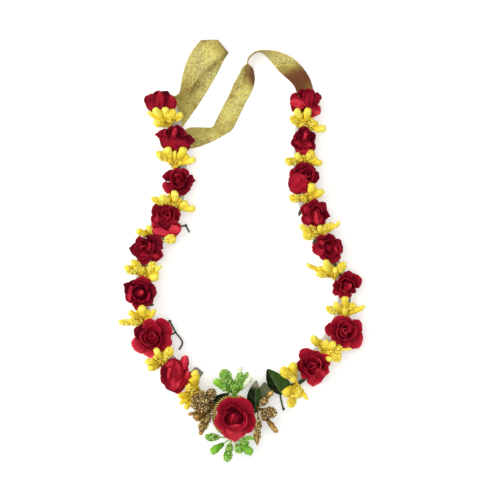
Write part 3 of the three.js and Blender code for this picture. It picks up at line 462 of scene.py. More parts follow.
# Petals folded into a pod over the heart: foot and tip as (x, y from the outline's middle, height share),
# half width, arch, tone and, where they aren't 1, the shares of the width at the foot and of the crumpling.
# A pod's tone is painted light and shade on that folded petal.
pods = {
    "rose_left_1": [
        ((-5.4, -4.6, 0.5), (-6.4, 5.8, 0.7), 4, 2, -0.1),
        ((6.2, -5.2, 0.5), (6.8, 4.8, 0.66), 2.8, 1.8, 0.06),
        ((0.2, -5.4, 0.56), (-0.6, 6.8, 0.84), 4, 2.2, -0.08),
        ((3.2, -4, 0.4), (3.6, 5.4, 0.6), 1.5, 1, -0.3)],
    "rose_left_2": [
        ((-9.8, -0.8, 0.66), (9.4, -5, 0.6), 5.2, 3, -0.1, 1, 0.6),
        ((-2.2, 0.8, 0.8), (1, 6.4, 0.88), 1.4, 0.6, 0.3),
        ((-6.4, 0.8, 0.66), (-5, 6.4, 0.78), 1.7, 0.8, 0.02),
        ((4, 0.6, 0.62), (6.4, 5, 0.72), 1.8, 0.6, -0.12)],
    "rose_left_4": [
        ((-7.4, -4.6, 0.5), (-6, 5, 0.62), 2.4, 1, 0.06),
        ((-9, -6, 0.5), (9.8, -5.4, 0.46), 4, 1, 0.2),
        ((-6.6, 1.6, 0.56), (8.6, 1.2, 0.5), 3.6, 1.2, -0.02)],
    "rose_left_5": [
        ((-6.5, -3.6, 0.5), (7.6, -3.2, 0.5), 3.2, 1.2, 0.0),
        ((0.6, -0.8, 0.7), (1.6, 5.4, 0.76), 1.2, 0.5, 0.02),
        ((7.2, -1, 0.5), (8, 5.2, 0.56), 1.2, 0.5, 0.12),
        ((3.6, -0.6, 0.6), (4.6, 4.6, 0.66), 1.5, 0.4, -0.2)],
    "rose_left_6": [
        ((-1.4, -1.6, 0.66), (1.8, 1.2, 0.76), 2.2, 1, 0.0, 0.8),
        ((-6.6, -5.4, 0.6), (-5.4, 5.4, 0.68), 1.4, 0.6, 0.12)],
    "rose_left_8": [
        ((-1.2, -11.2, 0.6), (-1.4, 8.8, 0.82), 7, 3.6, -0.04),
        ((4.2, 2, 0.66), (6, 11.2, 0.66), 2.7, 0.4, 0.12, 0.9),
        ((6.4, -7.8, 0.5), (7.6, 2, 0.6), 2.4, 0.8, 0.06),
        ((0.6, -9.4, 0.72), (5.2, -2.6, 0.86), 2, 0.6, 0.08),
        ((-6.8, -1.4, 0.96), (-5, 3.8, 1.02), 1.9, 0.3, -0.6, 1, 0),
        ((-4.6, -2.8, 1.04), (-2.6, 4, 1.12), 1.6, 0.5, 0.04)],
    "rose_right_1": [
        ((-0.2, -2, 0.66), (-9, 2, 0.6), 3.7, 1.4, 0.1),
        ((1.6, -4, 0.6), (2, 6.8, 0.86), 3.4, 1.2, -0.02),
        ((3, 0.6, 0.5), (8.8, 2.2, 0.6), 3, 1, -0.08),
        ((3.4, -1.6, 0.56), (8.6, -7, 0.4), 3, 0.8, 0.2)],
    "rose_right_2": [
        ((-5.8, -3.8, 0.4), (5.8, -5, 0.4), 3.2, 1, 0.1),
        ((-5.8, -0.6, 0.56), (5.6, -2, 0.56), 2.6, 1, 0.02),
        ((-0.8, -0.4, 0.86), (0.4, 5.6, 0.96), 1.3, 0.7, 0.3)],
    "rose_right_3": [
        ((-8.2, -7.2, 0.36), (0.6, 1.2, 0.86), 6.2, 1.6, 0.02, 1, 0.4)],
    "rose_right_4": [
        ((0.4, 2.4, 0.94), (1.9, -6.4, 0.8), 3.2, 1.2, 0.14, 0.5),
        ((-4, 6, 0.62), (-5, -6, 0.5), 3.2, 1, -0.08)],
    "rose_right_5": [
        ((-5, -6, 0.42), (-3.6, 4.4, 0.56), 3.6, 1, 0.06, 1, 0.4)],
    "rose_right_6": [
        ((-1.9, -4.6, 0.74), (2.6, 1.6, 0.86), 2.6, 0.8, 0.02, 0.5)],
    "rose_right_8": [
        ((0.8, -0.6, 0.6), (6.6, -6.6, 0.5), 3.3, 1, -0.02, 0.6, 0.5),
        ((-1.6, -5, 0.5), (0.6, -9.4, 0.4), 2.6, 0.8, 0, 1, 0.5)],
    "rose_centre": [
        ((-2.3, -3.6, 0.6), (0.3, 3, 0.72), 3.4, 0.5, -0.12, 0.2),
        ((0.6, -3, 0.56), (0.4, -13.4, 0.4), 5.6, 0.5, 0.14, 1, 0.2)],
}
# Rows, columns and thickness of the sheets.
grids = {"petal": (12, 15, 0.22), "heart": (6, 30, 0.22), "pod": (13, 17, 0.22), "leaf": (29, 17, 0.35)}
crumpling = {"wide": 1.1, "wideScale": 0.16, "fine": 0.4, "fineScale": 0.5, "middle": 0.3}
outerPetal = {
    # from foot to rolled edge, as (share of the reach, share of the height)
    "run": [(0.12, 0.02), (0.34, 0.34), (0.60, 0.66), (0.84, 0.92), (0.96, 1.0), (1.0, 0.97), (0.985, 0.9)],
    "overlap": 1.2, "rim": 1.05, "sideCut": 0.13, "pointCut": 0.05, "tip": 0.10, "tipWidth": 0.18, "top": 0.5,
    "lowest": 0.15, "rollDrop": 0.9, "tilt": 0.5, "pleat": 1.3, "pleats": 1.6,
    "footShade": 0.5, "sideShade": 0.16, "edgeLight": 0.12, "edgeStart": 0.8,
}
innerPetal = {
    "lip": 0.35, "lipStart": 0.8, "lipLength": 0.2, "flareEnd": 0.85, "flare": 0.8, "foot": 0.1,
    "riseEnd": 0.9, "round": 0.72, "hollow": 0.28, "swing": 1.3, "lean": 0.05, "sideDrop": 0.20,
    "footSpan": 0.75, "footShade": 0.5, "sideShade": 0.1,
    # the most that chance adds to a petal or takes from it
    "chance": {"bearing": 12, "rim": 0.05, "height": 0.05, "tone": 0.06},
}
rolledHeart = {
    "foot": 0.45, "drop": 0.05, "taper": 0.8, "wobble": 0.2, "footShade": 0.55, "turnShade": 0.2,
}
foldedPetal = {
    "roundness": 2.6, "sink": 0.9, "fold": 1.9, "foldsAcross": 0.6, "foldsAlong": 1.7, "sideShade": 0.3,
    "tipLight": 0.1, "foldShade": 0.35,
}
# The solid middle: its lean towards the heart's place, its sides, and its rings as (share of the height,
# share of the reach, tone); the tones paint shade deep in the rose, darkest at the foot.
hubSizes = {
    "drift": 1.5, "sides": 20,
    "rings": [(0.0, 0.0, -0.5), (0.02, 0.4, -0.5), (0.14, 0.52, -0.5), (0.36, 0.34, -0.4),
              (0.56, 0.16, -0.25), (0.62, 0.0, -0.2)],
}


def alongRun(run, v):
    # The place at share v on a smooth run of pairs.
    steps = len(run) - 1
    k = min(int(v * steps), steps - 1)
    t = v * steps - k
    before, a, b, after = run[max(k - 1, 0)], run[k], run[k + 1], run[min(k + 2, steps)]
    return [0.5 * (2 * q + (r - p) * t + (2 * p - 5 * q + 4 * r - s) * t ** 2
                   + (3 * q - 3 * r + s - p) * t ** 3)
            for p, q, r, s in zip(before, a, b, after)]


def addGrid(shape, rows, columns, thickness, spotOf, **values):
    # A closed sheet whose middle points and values are worked out over u from -1 to 1 and v from 0 to 1.
    steps = [[(2 * j / (columns - 1) - 1, i / (rows - 1)) for j in range(columns)] for i in range(rows)]
    grids = {name: [[value(u, v) for u, v in row] for row in steps] for name, value in values.items()}
    addSheet(shape, [[spotOf(u, v) for u, v in row] for row in steps], thickness, **grids)


def addOuterPetals(shape, place, rims, tall, tone, chance):
    look = outerPetal
    for k, (angle, length, point, rise, shade, breadth) in enumerate(rims):
        right = 0.5 * breadth * ((angle - rims[k - 1][0]) % fullTurn)
        left = 0.5 * breadth * ((rims[(k + 1) % len(rims)][0] - angle) % fullTurn)
        top = rise * tall + look["top"]
        fold = chance.random()

        def spot(u, v):
            u *= look["overlap"]
            share, level = alongRun(look["run"], v)
            bend = abs(u) ** (2 - point)
            tip = look["tip"] * point * math.exp(-(u / look["tipWidth"]) ** 2)
            cut = look["sideCut"] + look["pointCut"] * point
            rim = length * (look["rim"] - look["pointCut"] * point - cut * bend + tip)
            crease = look["pleat"] * abs((look["pleats"] * u + fold) % 1 - 0.5) * v
            cup = -look["rollDrop"] * (abs(u) ** 3) * v ** 2 + look["tilt"] * u + crease
            height = max(top * level + cup * v, look["lowest"])
            return place(rim * share, angle + u * (right if u < 0 else left), height)

        def shadeAt(u, v):
            edge = look["edgeLight"] if v > look["edgeStart"] else 0
            dark = look["footShade"] * (1 - v) ** 1.3
            return tone + shade * min(1, 1.6 * v) - dark - look["sideShade"] * abs(u) ** 3 + edge

        addGrid(shape, *grids["petal"], spot, tone=shadeAt)


def addInnerPetals(shape, place, core, tall, spin, tone, lay, chance):
    look, loose = innerPetal, innerPetal["chance"]
    for bearing, foot, rim, level, span, shade in lay["petals"]:
        angle = math.radians(spin + bearing + chance.uniform(-1, 1) * loose["bearing"])
        rim *= 1 + chance.uniform(-1, 1) * loose["rim"]
        level *= 1 + chance.uniform(-1, 1) * loose["height"]
        shade += chance.uniform(-1, 1) * loose["tone"]
        half = math.radians(span)

        def spot(u, v):
            lip = max(0.0, v - look["lipStart"]) / look["lipLength"]
            flare = foot + (rim - foot) * min(v / look["flareEnd"], 1) ** look["flare"]
            curl = look["round"] + look["hollow"] * math.cos(look["swing"] * u * half) + look["lean"] * u
            rise = look["foot"] + (level - look["foot"]) * min(v / look["riseEnd"], 1)
            height = tall * rise * (1 - look["sideDrop"] * abs(u) ** 2.4 * v)
            return place(core * flare * curl + look["lip"] * lip,
                         angle + u * half * (look["footSpan"] + (1 - look["footSpan"]) * v),
                         height - look["lip"] * lip ** 2)

        def shadeAt(u, v):
            return tone + shade - look["footShade"] * (1 - v) ** 1.1 - look["sideShade"] * abs(u) ** 2

        addGrid(shape, *grids["petal"], spot, tone=shadeAt)


def addHeart(shape, place, core, tall, spin, tone, turns, outside, inside, top, shade):
    look = rolledHeart

    def rolled(u, v):
        t = (u + 1) / 2
        angle = math.radians(spin) + turns * fullTurn * t
        radius = core * (outside + (inside - outside) * t) * (look["taper"] + (1 - look["taper"]) * v)
        height = look["foot"] + (top - look["foot"] - look["drop"] * t) * v
        return place(radius * (1 + look["wobble"] * math.cos(3 * angle + spin)), angle, tall * height)

    def rolledShade(u, v):
        return tone + shade - look["footShade"] * (1 - v) + look["turnShade"] * math.cos(turns * math.pi * u)

    addGrid(shape, *grids["heart"], rolled, tone=rolledShade)


def addPod(shape, place, tall, foot, tip, half, arch, tone, taper=1, folded=1.0):
    # A petal folded over a line from its foot to its tip.
    look = foldedPetal
    along = Vector(tip[:2]) - Vector(foot[:2])
    over = Vector((along.y, -along.x)).normalized()

    def foldAt(u, v):
        at = Vector((u * half * look["foldsAcross"], v * look["foldsAlong"], foot[0] * 3 + tip[0]))
        return folded * noise.noise(at)

    def spot(u, v):
        wide = half * (1 - abs(2 * v - 1) ** look["roundness"]) ** 0.5 * (taper + (1 - taper) * v)
        spread = Vector(foot[:2]) + along * v + over * wide * math.sin(u * math.pi / 2)
        level = foot[2] + (tip[2] - foot[2]) * v
        curve = arch * (wide / half) * (math.cos(u * math.pi / 2) - look["sink"])
        return place(spread, tall * level + curve + look["fold"] * foldAt(u, v))

    def shadeAt(u, v):
        light = look["tipLight"] * v + look["foldShade"] * foldAt(u, v)
        return tone - look["sideShade"] * abs(u) ** 2 + light

    addGrid(shape, *grids["pod"], spot, tone=shadeAt)


def makeRose(name, middle, heart, tall, lift, spin, tone, layName, petals):
    chance = random.Random(spin * 7 + len(petals))
    lay = lays[layName]
    foot = Vector((middle[0] - heart[0] / 2, middle[1] - heart[1] / 2, heights["flower"] + lift))
    drift = Vector((heart[0], heart[1], 0)) * hubSizes["drift"] / tall
    core = sum(petal[1] for petal in petals) / len(petals)
    shape = Shape()

    def crumpled(spot):
        shift = noise.noise_vector(spot * crumpling["wideScale"] + Vector((spin, 0, 0))) * crumpling["wide"]
        shift += noise.noise_vector(spot * crumpling["fineScale"]) * crumpling["fine"]
        return spot + shift * min(1, crumpling["middle"] + (spot - foot).xy.length / core)

    def place(radius, angle, height):
        out = Vector((radius * math.cos(angle), radius * math.sin(angle), height))
        return crumpled(foot + drift * height + out)

    def placeFlat(spread, height):
        return crumpled(Vector((middle[0] + spread.x, middle[1] + spread.y, foot.z + height)))

    rims = []
    for bearing, reach, point, rise, shade, *breadth in petals:
        rim = Vector((math.cos(math.radians(bearing)), math.sin(math.radians(bearing)))) * reach
        out = Vector(middle) + rim - foot.xy - drift.xy * tall * rise
        angle = math.atan2(out.y, out.x) % fullTurn
        rims.append((angle, out.length, point, rise, shade, *(breadth or [1.0])))
    addOuterPetals(shape, place, sorted(rims), tall, tone, chance)
    addInnerPetals(shape, place, core, tall, spin, tone, lay, chance)
    addHeart(shape, place, core, tall, spin, tone, *lay["heart"])
    for podFoot, tip, half, arch, shade, *rest in pods.get(name, []):
        addPod(shape, placeFlat, tall, podFoot, tip, half, arch, tone + shade, *rest)
    hub = [(h * tall, r * core) for h, r, shade in hubSizes["rings"]]
    hubTones = [tone + shade for h, r, shade in hubSizes["rings"]]
    addTurned(shape, foot, drift + Vector((0, 0, 1)), hub, hubSizes["sides"], tone=hubTones)
    return settle(shape.build(name + "_petals", finishes["rose"]), "rose_paper", name)


for name, spec in roses.items():
    makeRose(name, *spec)
print("roses ready:", len(roses))


# Buds. Each bunch has its colour, root, lift and tone, and its buds as (x and y of the middle from the root,
# form, size).
smooth, crinkled, slim, large, pale = "smooth", "crinkled", "slim", "large", "pale"
budForms = {
    smooth: {"wide": 1.0, "long": 0.86, "lumps": 0.0},
    crinkled: {"wide": 0.96, "long": 0.84, "lumps": 0.35},
    slim: {"wide": 0.62, "long": 1.0, "lumps": 0.0},
    large: {"wide": 1.6, "long": 1.2, "lumps": 0.35},
    pale: {"wide": 0.8, "long": 0.9, "lumps": 0.0},
}
budSizes = {
    "width": 5.0, "length": 8.8, "narrow": 0.66, "neck": 0.5, "least": 0.6, "sides": 20, "rings": 16,
    "finer": 8, "lowest": 0.6, "rise": 5.4, "highFrom": 10, "wire": 0.38, "wireSides": 8, "root": 1.1,
    "rootSides": 12,
}
# Tone shifts of the buds: 'foot' is painted shade towards each bud's foot, 'crinkled' painted shade on a
# crinkled body between its grains, 'light' lifts every bud, 'wire' and 'root' darken these, and 'chance'
# varies each bud at random.
budTones = {"light": 0.06, "foot": 0.66, "crinkled": 0.34, "wire": 0.1, "root": 0.3, "chance": 0.12}
lumpSizes = {"dent": 0.75, "dentScale": 0.5, "scale": 0.75, "steepness": 1.5, "rise": 0.5}
# Rings of buds that fill the gaps under the others in the dense bunches, as (share of their reach, drop,
# size, tone), where two buds stand less than so many degrees apart.
# The fillers' tones are painted shade on the buds that lie under the others.
fillers = {
    "widest": 80, "bunches": ("buds_", "gold_buds_left", "green_buds_top"),
    "rings": [(0.84, 1.5, 0.9, -0.12), (0.46, 0.6, 0.7, -0.2)],
    "reach": (0.9, 1.15), "size": (0.85, 1.1), "tone": (-0.1, 0.1),
}
bunches = {
    "buds_left_1": ("yellow", (-45, 76.9), 1.1, 0.72, [
        (-10.5, 7.6, smooth, 0.8), (-6.6, 8.2, smooth, 1.1), (-1.8, 8.6, smooth, 1),
        (1.6, 6.4, crinkled, 1.35), (6.2, 6, crinkled, 1), (-5.6, 1.9, smooth, 1.1)]),
    "buds_left_2": ("yellow", (-41.9, 51.5), 0, 0.75, [
        (-8.1, 7.4, crinkled, 1), (-3.1, 9.3, smooth, 1), (0.6, 6.8, slim, 1),
        (5, 8.7, smooth, 1.2), (10.5, 4.3, smooth, 0.9)]),
    "buds_left_3": ("yellow", (-40.6, 25.4), 0, 0.75, [
        (-12.4, 6.2, crinkled, 0.9), (-6.8, 6.2, smooth, 1.1), (-0.6, 8.1, smooth, 1.1),
        (4.3, 3.1, smooth, 1), (8.7, 0.6, smooth, 1)]),
    "buds_left_4": ("yellow", (-53, 6.2), -1.4, 0.62, [
        (-8.7, 5, smooth, 1), (-3.7, 6.8, smooth, 0.9), (8.4, 1, crinkled, 1.25)]),
    "buds_left_5": ("yellow", (-59.8, -18), 0, 0.7, [
        (-9.4, 6.4, crinkled, 1.05), (-5.4, 9, crinkled, 1.15), (-2.4, 6, crinkled, 1),
        (4.2, 7.4, crinkled, 1.2), (7.4, 6.4, slim, 1), (4.8, 1.2, smooth, 1.1)]),
    "buds_left_6": ("yellow", (-59.2, -45.9), 0, 0.72, [
        (-1.9, 8.1, smooth, 1.2), (3.7, 6.2, slim, 1.1), (-8.1, 6.8, smooth, 0.8),
        (-7.4, 1.9, crinkled, 1), (-13.6, 1.9, crinkled, 0.9)]),
    "buds_left_7": ("yellow", (-47.4, -71.3), 0, 0.7, [
        (-4.3, 8.1, smooth, 1), (-8.7, 2.5, smooth, 1), (-7.4, -1.2, smooth, 0.9),
        (2.5, 8.1, crinkled, 1.2)]),
    "buds_left_8": ("yellow", (-25.7, -88), 0, 0.6, [
        (-2.5, 10.5, smooth, 1.1), (-5.6, 3.1, crinkled, 1), (-10.5, -1.2, smooth, 0.9),
        (-8.7, -4.3, slim, 1.1), (-7.4, -7.4, smooth, 0.8)]),
    "buds_right_1": ("yellow", (39.4, 75), 0, 0.75, [
        (-4.3, 9.4, smooth, 1.1), (1.2, 9.6, smooth, 1.1), (-6.2, 5.6, crinkled, 1.1),
        (-1.9, 2.5, crinkled, 0.9), (5, 3.1, crinkled, 1), (9, 0.4, smooth, 1.1)]),
    "buds_right_2": ("yellow", (39.4, 53.3), 0, 0.72, [
        (-8.7, 1.9, crinkled, 1.1), (-3.7, 4.3, smooth, 1), (3.1, 5.6, crinkled, 1.1),
        (7.4, 1.2, smooth, 0.9)]),
    "buds_right_3": ("yellow", (41.2, 29.8), 0, 0.72, [
        (-8.1, 2.5, crinkled, 1.1), (-2.5, 2.5, crinkled, 0.9), (1.9, 8.1, smooth, 1.2),
        (6.8, 5.6, smooth, 1)]),
    "buds_right_4": ("yellow", (48.7, 8.1), 0, 0.7, [
        (-9.9, 6.2, smooth, 0.9), (-6.8, 1.2, crinkled, 1.2), (0, 5, smooth, 0.9),
        (3.7, 6.2, crinkled, 0.9), (9.3, 7.4, slim, 1)]),
    "buds_right_5": ("yellow", (58, -17.4), 0, 0.72, [
        (-14.3, 7.4, slim, 1), (-8.7, 3.1, crinkled, 1), (-5, 5.6, smooth, 1),
        (-5, 9.3, smooth, 0.9), (0, 4.3, smooth, 0.9), (3.7, 6.8, crinkled, 1.2)]),
    "buds_right_6": ("yellow", (64.8, -41.5), 0, 0.74, [
        (-9.3, 5, crinkled, 1), (-5, 6.8, smooth, 1), (-0.6, 9.9, smooth, 1),
        (-0.6, 3.7, smooth, 1), (3.7, 6.8, crinkled, 0.9), (7.4, 5, slim, 1.2)]),
    "buds_right_7": ("yellow", (49.9, -62.6), 0, 0.68, [
        (-4.3, 6.6, smooth, 1.1), (1.9, 4.3, smooth, 1), (5.6, 3.7, smooth, 1),
        (8.1, -3.1, crinkled, 1.1), (3.7, -3.7, smooth, 0.8), (15.5, 1.9, slim, 0.7)]),
    "buds_right_8": ("yellow", (34.4, -81.8), 0, 0.68, [
        (-6.4, 6, crinkled, 1.4), (-2.3, 8.6, smooth, 1.2), (-1.6, 1.6, smooth, 1.1),
        (-5.4, -4.6, smooth, 1.2),
        (0.6, -5.4, crinkled, 1.2), (4.6, -7.4, slim, 0.9), (-3, -11, crinkled, 1.2)]),
    "green_buds_top": ("green", (-4, -89.9), 0, 0.7, [
        (-5.6, 12, large, 1.05), (-9.7, 7.8, smooth, 1.1), (-6.2, 5.4, crinkled, 1.2),
        (-0.6, 5, crinkled, 1.15),
        (3.1, 10.8, crinkled, 1.25), (3.1, 15.4, pale, 0.9), (7.6, 9, pale, 1.1), (7, 13, crinkled, 0.7),
        (-2.8, 8.4, crinkled, 1.1), (1.8, 7, crinkled, 1)]),
    "green_buds_bottom": ("green", (-5.9, -115.9), 0, 0.7, [
        (-12.6, 0.8, crinkled, 1.2), (-9.6, -6.4, smooth, 1.2), (-1.6, -6, crinkled, 1.1),
        (-2.4, -10, crinkled, 1.35),
        (3.7, -6, crinkled, 1.1), (9.3, -6.7, smooth, 1.2), (10.8, 0, slim, 0.8),
        (7.2, -2.4, crinkled, 1.05)]),
    "gold_buds_left": ("gold", (-17.7, -97.3), 0, 0.7, [
        (-0.8, 8.4, large, 0.85), (-6.2, 8, crinkled, 1.2), (-10, 5.6, crinkled, 1.1),
        (-5, 4.4, crinkled, 1.3),
        (-9.9, 1.8, crinkled, 1.2), (-6, -0.4, crinkled, 1.3), (-8.2, -4.4, smooth, 1.15),
        (-12.4, -3.2, slim, 0.8),
        (-5.6, -9.8, crinkled, 1.4), (-3, -6.4, crinkled, 1.1), (-7, -14.2, smooth, 0.7),
        (-10.4, -5, crinkled, 0.7)]),
    "gold_buds_right": ("gold", (10.2, -97.3), 0, 0.78, [
        (7, -2.4, large, 1.0), (6.4, 7.4, slim, 1.15), (3.6, -1.6, crinkled, 0.9),
        (3.4, 3.6, crinkled, 1.1), (8.6, -10.6, slim, 1.35),
        (0.6, -10.4, crinkled, 0.9), (-0.6, -17.4, crinkled, 1.1), (-0.5, -20.8, smooth, 0.55),
        (3.4, -5.6, crinkled, 0.8)]),
}


def lumpsOf(height, seed):
    # Rounded lumps over a crinkled bud, slight dents in a smooth one.
    sizes = lumpSizes
    shift = Vector((seed, 0, 0))

    def lump(point):
        if not height:
            return sizes["dent"] * noise.noise(point * sizes["dentScale"] + shift)
        distances, _ = noise.voronoi(point * sizes["scale"] + shift)
        return height * (sizes["rise"] - min(1.0, distances[0] * sizes["steepness"]))
    return lump


def addBud(shape, root, x, y, form, size, tone, chance, drop=0.0):
    sizes, kind = budSizes, budForms[form]
    height = sizes["lowest"] + sizes["rise"] * min(1, math.hypot(x, y) / sizes["highFrom"]) - drop
    middle = root + Vector((x, y, height))
    axis = (middle - root).normalized()
    full = sizes["length"] * kind["long"] * size
    reach = (middle - root).length + full / 2
    length = min(reach - sizes["neck"], max(full, sizes["least"] * reach))
    half = sizes["width"] * kind["wide"] * size / 2
    start = reach - length
    wire = [(0.0, 0.0), (0.02, sizes["wire"]), (start + 0.15 * length, sizes["wire"]),
            (start + 0.16 * length, 0.0)]
    addTurned(shape, root, axis, wire, sizes["wireSides"], tone=tone - budTones["wire"], grainy=0.0, pale=0.0)
    crinkles = kind["lumps"] > 0
    shade = budTones["crinkled"] if crinkles else 0
    count = sizes["rings"] + (sizes["finer"] if crinkles else 0)
    rings, tones, pales = [], [], []
    for i in range(count + 1):
        t = i / count
        body = math.sin(math.pi * min(1, t ** 1.2)) ** 0.62 * (sizes["narrow"] + (1 - sizes["narrow"]) * t)
        share = t if crinkles else (1 - math.cos(math.pi * t)) / 2
        rings.append((start + length * share, max(half * body, 0.02)))
        # Painted shade: darker towards the foot, and on a crinkled body between its grains.
        tones.append(tone + chance + budTones["light"] - budTones["foot"] * (1 - t) ** 1.5 - shade)
        pales.append(min(1, 2 * t) if form == pale else 0.0)
    sides = sizes["sides"] + (sizes["finer"] if crinkles else 0)
    addTurned(shape, root, axis, rings, sides, lumpsOf(kind["lumps"], x + 3 * y), tone=tones,
              grainy=1.0 if crinkles else 0.0, pale=pales)


def makeBunch(name, colour, at, lift, tone, buds):
    chance = random.Random(name)
    shape = Shape()
    root = Vector((at[0], at[1], heights["root"] + lift))
    ball = [(-1.0, 0), (-0.8, 0.6), (-0.3, 0.95), (0.3, 0.95), (0.8, 0.6), (1.0, 0)]
    rings = [(distance * budSizes["root"], radius * budSizes["root"]) for distance, radius in ball]
    addTurned(shape, root, Vector((0, 0, 1)), rings, budSizes["rootSides"], tone=tone - budTones["root"],
              grainy=0.0, pale=0.0)
    for x, y, form, size in buds:
        addBud(shape, root, x, y, form, size, tone, chance.uniform(-1, 1) * budTones["chance"])
    around = sorted(buds, key=lambda bud: math.atan2(bud[1], bud[0]))
    for k, (x, y, *_) in enumerate(around):
        nextX, nextY = around[k - 1][:2]
        gap = (math.atan2(y, x) - math.atan2(nextY, nextX)) % fullTurn
        if gap >= math.radians(fillers["widest"]) or not name.startswith(fillers["bunches"]):
            continue
        form = smooth if k % 3 == 1 else crinkled
        for share, drop, size, shade in fillers["rings"]:
            share *= 0.5 * chance.uniform(*fillers["reach"])
            size *= chance.uniform(*fillers["size"])
            addBud(shape, root, (x + nextX) * share, (y + nextY) * share, form, size, tone + shade,
                   chance.uniform(*fillers["tone"]), drop)
    return settle(shape.build(name + "_stamens", finishes[colour]), colour + "_bud", name)


stamens = {name: makeBunch(name, *spec) for name, spec in bunches.items()}
print("bunches ready:", len(stamens))


# Pieces made by Geometry Nodes.
class Recipe(Builder):
    # A Geometry Nodes tree with a named input for each size and for the material.
    def __init__(self, name, sizes):
        super().__init__(bpy.data.node_groups.new(name, "GeometryNodeTree"))
        self.ids = {}
        ports = self.tree.interface
        for way in ("INPUT", "OUTPUT"):
            ports.new_socket("Geometry", in_out=way, socket_type="NodeSocketGeometry")
        for label, value in sizes.items():
            kind = "NodeSocketInt" if isinstance(value, int) else "NodeSocketFloat"
            socket = ports.new_socket(label, in_out="INPUT", socket_type=kind)
            socket.default_value = value
            self.ids[label] = socket.identifier
        paint = ports.new_socket("Material", in_out="INPUT", socket_type="NodeSocketMaterial")
        self.ids["Material"] = paint.identifier
        self.given = self.node("NodeGroupInput")

    def circle(self, radius, resolution):
        return self.node("GeometryNodeCurvePrimitiveCircle", {"mode": "RADIUS"},
                         {"Radius": radius, "Resolution": resolution})

    def copies(self, points, instance, rotation, scale):
        return self.node("GeometryNodeInstanceOnPoints", {}, {
            "Points": points, "Instance": instance, "Rotation": rotation, "Scale": scale})

    def mark(self, copies, name, value):
        # Stores a number on each copy.
        return self.node("GeometryNodeStoreNamedAttribute", {"data_type": "FLOAT", "domain": "INSTANCE"},
                         {"Geometry": copies, "Name": name, "Value": value})

    def chance(self, low, high, seed):
        return self.node("FunctionNodeRandomValue", {"data_type": "FLOAT"}, {2: low, 3: high, "Seed": seed},
                         output=1)

    def deliver(self, geometry):
        whole = self.node("GeometryNodeRealizeInstances", {}, {"Geometry": geometry})
        painted = self.node("GeometryNodeSetMaterial", {}, {
            "Geometry": whole, "Material": self.given["Material"]})
        self.node("NodeGroupOutput", {}, {"Geometry": painted})

    def apply(self, carrier, name, **values):
        # Runs the tree on a carrier mesh and returns the result as a plain mesh object.
        modifier = carrier.modifiers.new(name, "NODES")
        modifier.node_group = self.tree
        for label, value in values.items():
            modifier[self.ids[label]] = value
        carrier.update_tag()
        graph = bpy.context.evaluated_depsgraph_get()
        mesh = bpy.data.meshes.new_from_object(carrier.evaluated_get(graph), depsgraph=graph)
        carrier.modifiers.remove(modifier)
        return link(name, mesh)


# Grains on the crinkled buds; their lengths are in metres, as those of the cord and the tape are.
grainSizes = {
    "yellow": {"Radius": 0.00078, "Spacing": 0.00104, "Segments": 6, "Rings": 4, "Dimmest": 0.34, "Seed": 4},
    "green": {"Radius": 0.00056, "Spacing": 0.0008, "Segments": 5, "Rings": 3, "Dimmest": 0.2, "Seed": 5},
    "gold": {"Radius": 0.00056, "Spacing": 0.0008, "Segments": 5, "Rings": 3, "Dimmest": 0.1, "Seed": 6},
}
grainRange = {"smallest": 0.65, "largest": 1.2, "brightest": 1.05, "toneSeed": 9, "perArea": 2.5e6}
grains = Recipe("budGrains", grainSizes["yellow"])
given = grains.given
scatter = grains.node("GeometryNodeDistributePointsOnFaces", {"distribute_method": "POISSON"}, {
    "Mesh": given["Geometry"], "Distance Min": given["Spacing"], "Density Max": grainRange["perArea"],
    "Selection": grains.node("GeometryNodeInputNamedAttribute", {}, {"Name": "grainy"}) > 0.5,
    "Seed": given["Seed"]})
ball = grains.node("GeometryNodeMeshUVSphere", {}, {
    "Radius": given["Radius"], "Rings": given["Rings"], "Segments": given["Segments"]})
grain = grains.node("GeometryNodeSetShadeSmooth", {}, {"Geometry": ball})
size = grains.chance(grainRange["smallest"], grainRange["largest"], given["Seed"])
dotted = grains.copies(scatter, grain, scatter["Rotation"], size)
light = grains.chance(given["Dimmest"], grainRange["brightest"], grainRange["toneSeed"])
grains.deliver(grains.mark(dotted, "tone", light))
for name, piece in stamens.items():
    colour = bunches[name][0]
    finish = finishes["yellow" if colour == "yellow" else colour + "Glitter"]
    settle(grains.apply(piece, name + "_grains", Material=finish, **grainSizes[colour]), colour + "_bud")

# The rim is a cord of slanted strands laid round a circle.
rimSizes = {"Radius": 0.0121, "Strands": 50, "Length": 0.0018, "Width": 0.0005, "Lean": 1.0, "Core": 0.0012}
rimPlace = Vector((-5, -102.6, 5.3)) * mm
coreFlatness = (1, 0.2, 1)
rope = Recipe("twistedRim", rimSizes)
given = rope.given
circle = rope.circle(given["Radius"], 128)
spots = rope.node("GeometryNodeCurveToPoints", {"mode": "COUNT"}, {
    "Curve": circle, "Count": given["Strands"]})
strand = rope.node("GeometryNodeMeshUVSphere", {}, {"Segments": 10, "Rings": 8, "Radius": 1.0})
lean = rope.node("FunctionNodeAxisAngleToRotation", {}, {"Axis": (0, 1, 0), "Angle": given["Lean"]})
turned = rope.node("FunctionNodeRotateRotation", {"rotation_space": "LOCAL"}, {0: spots["Rotation"], 1: lean})
stretch = rope.node("ShaderNodeCombineXYZ", {}, {
    "X": given["Width"], "Y": given["Width"], "Z": given["Length"]})
golden = rope.mark(rope.copies(spots, strand, turned, stretch), "strand", 1.0)
section = rope.node("GeometryNodeTransform", {}, {
    "Scale": coreFlatness, "Geometry": rope.circle(given["Core"], 10)})
core = rope.node("GeometryNodeCurveToMesh", {}, {"Curve": circle, "Profile Curve": section})
both = rope.node("GeometryNodeJoinGeometry", {}, {"Geometry": golden})
rope.feed(both.socket.node.inputs["Geometry"], core)
rope.deliver(both)
carrier = link("rimCarrier", bpy.data.meshes.new("rimCarrier"))
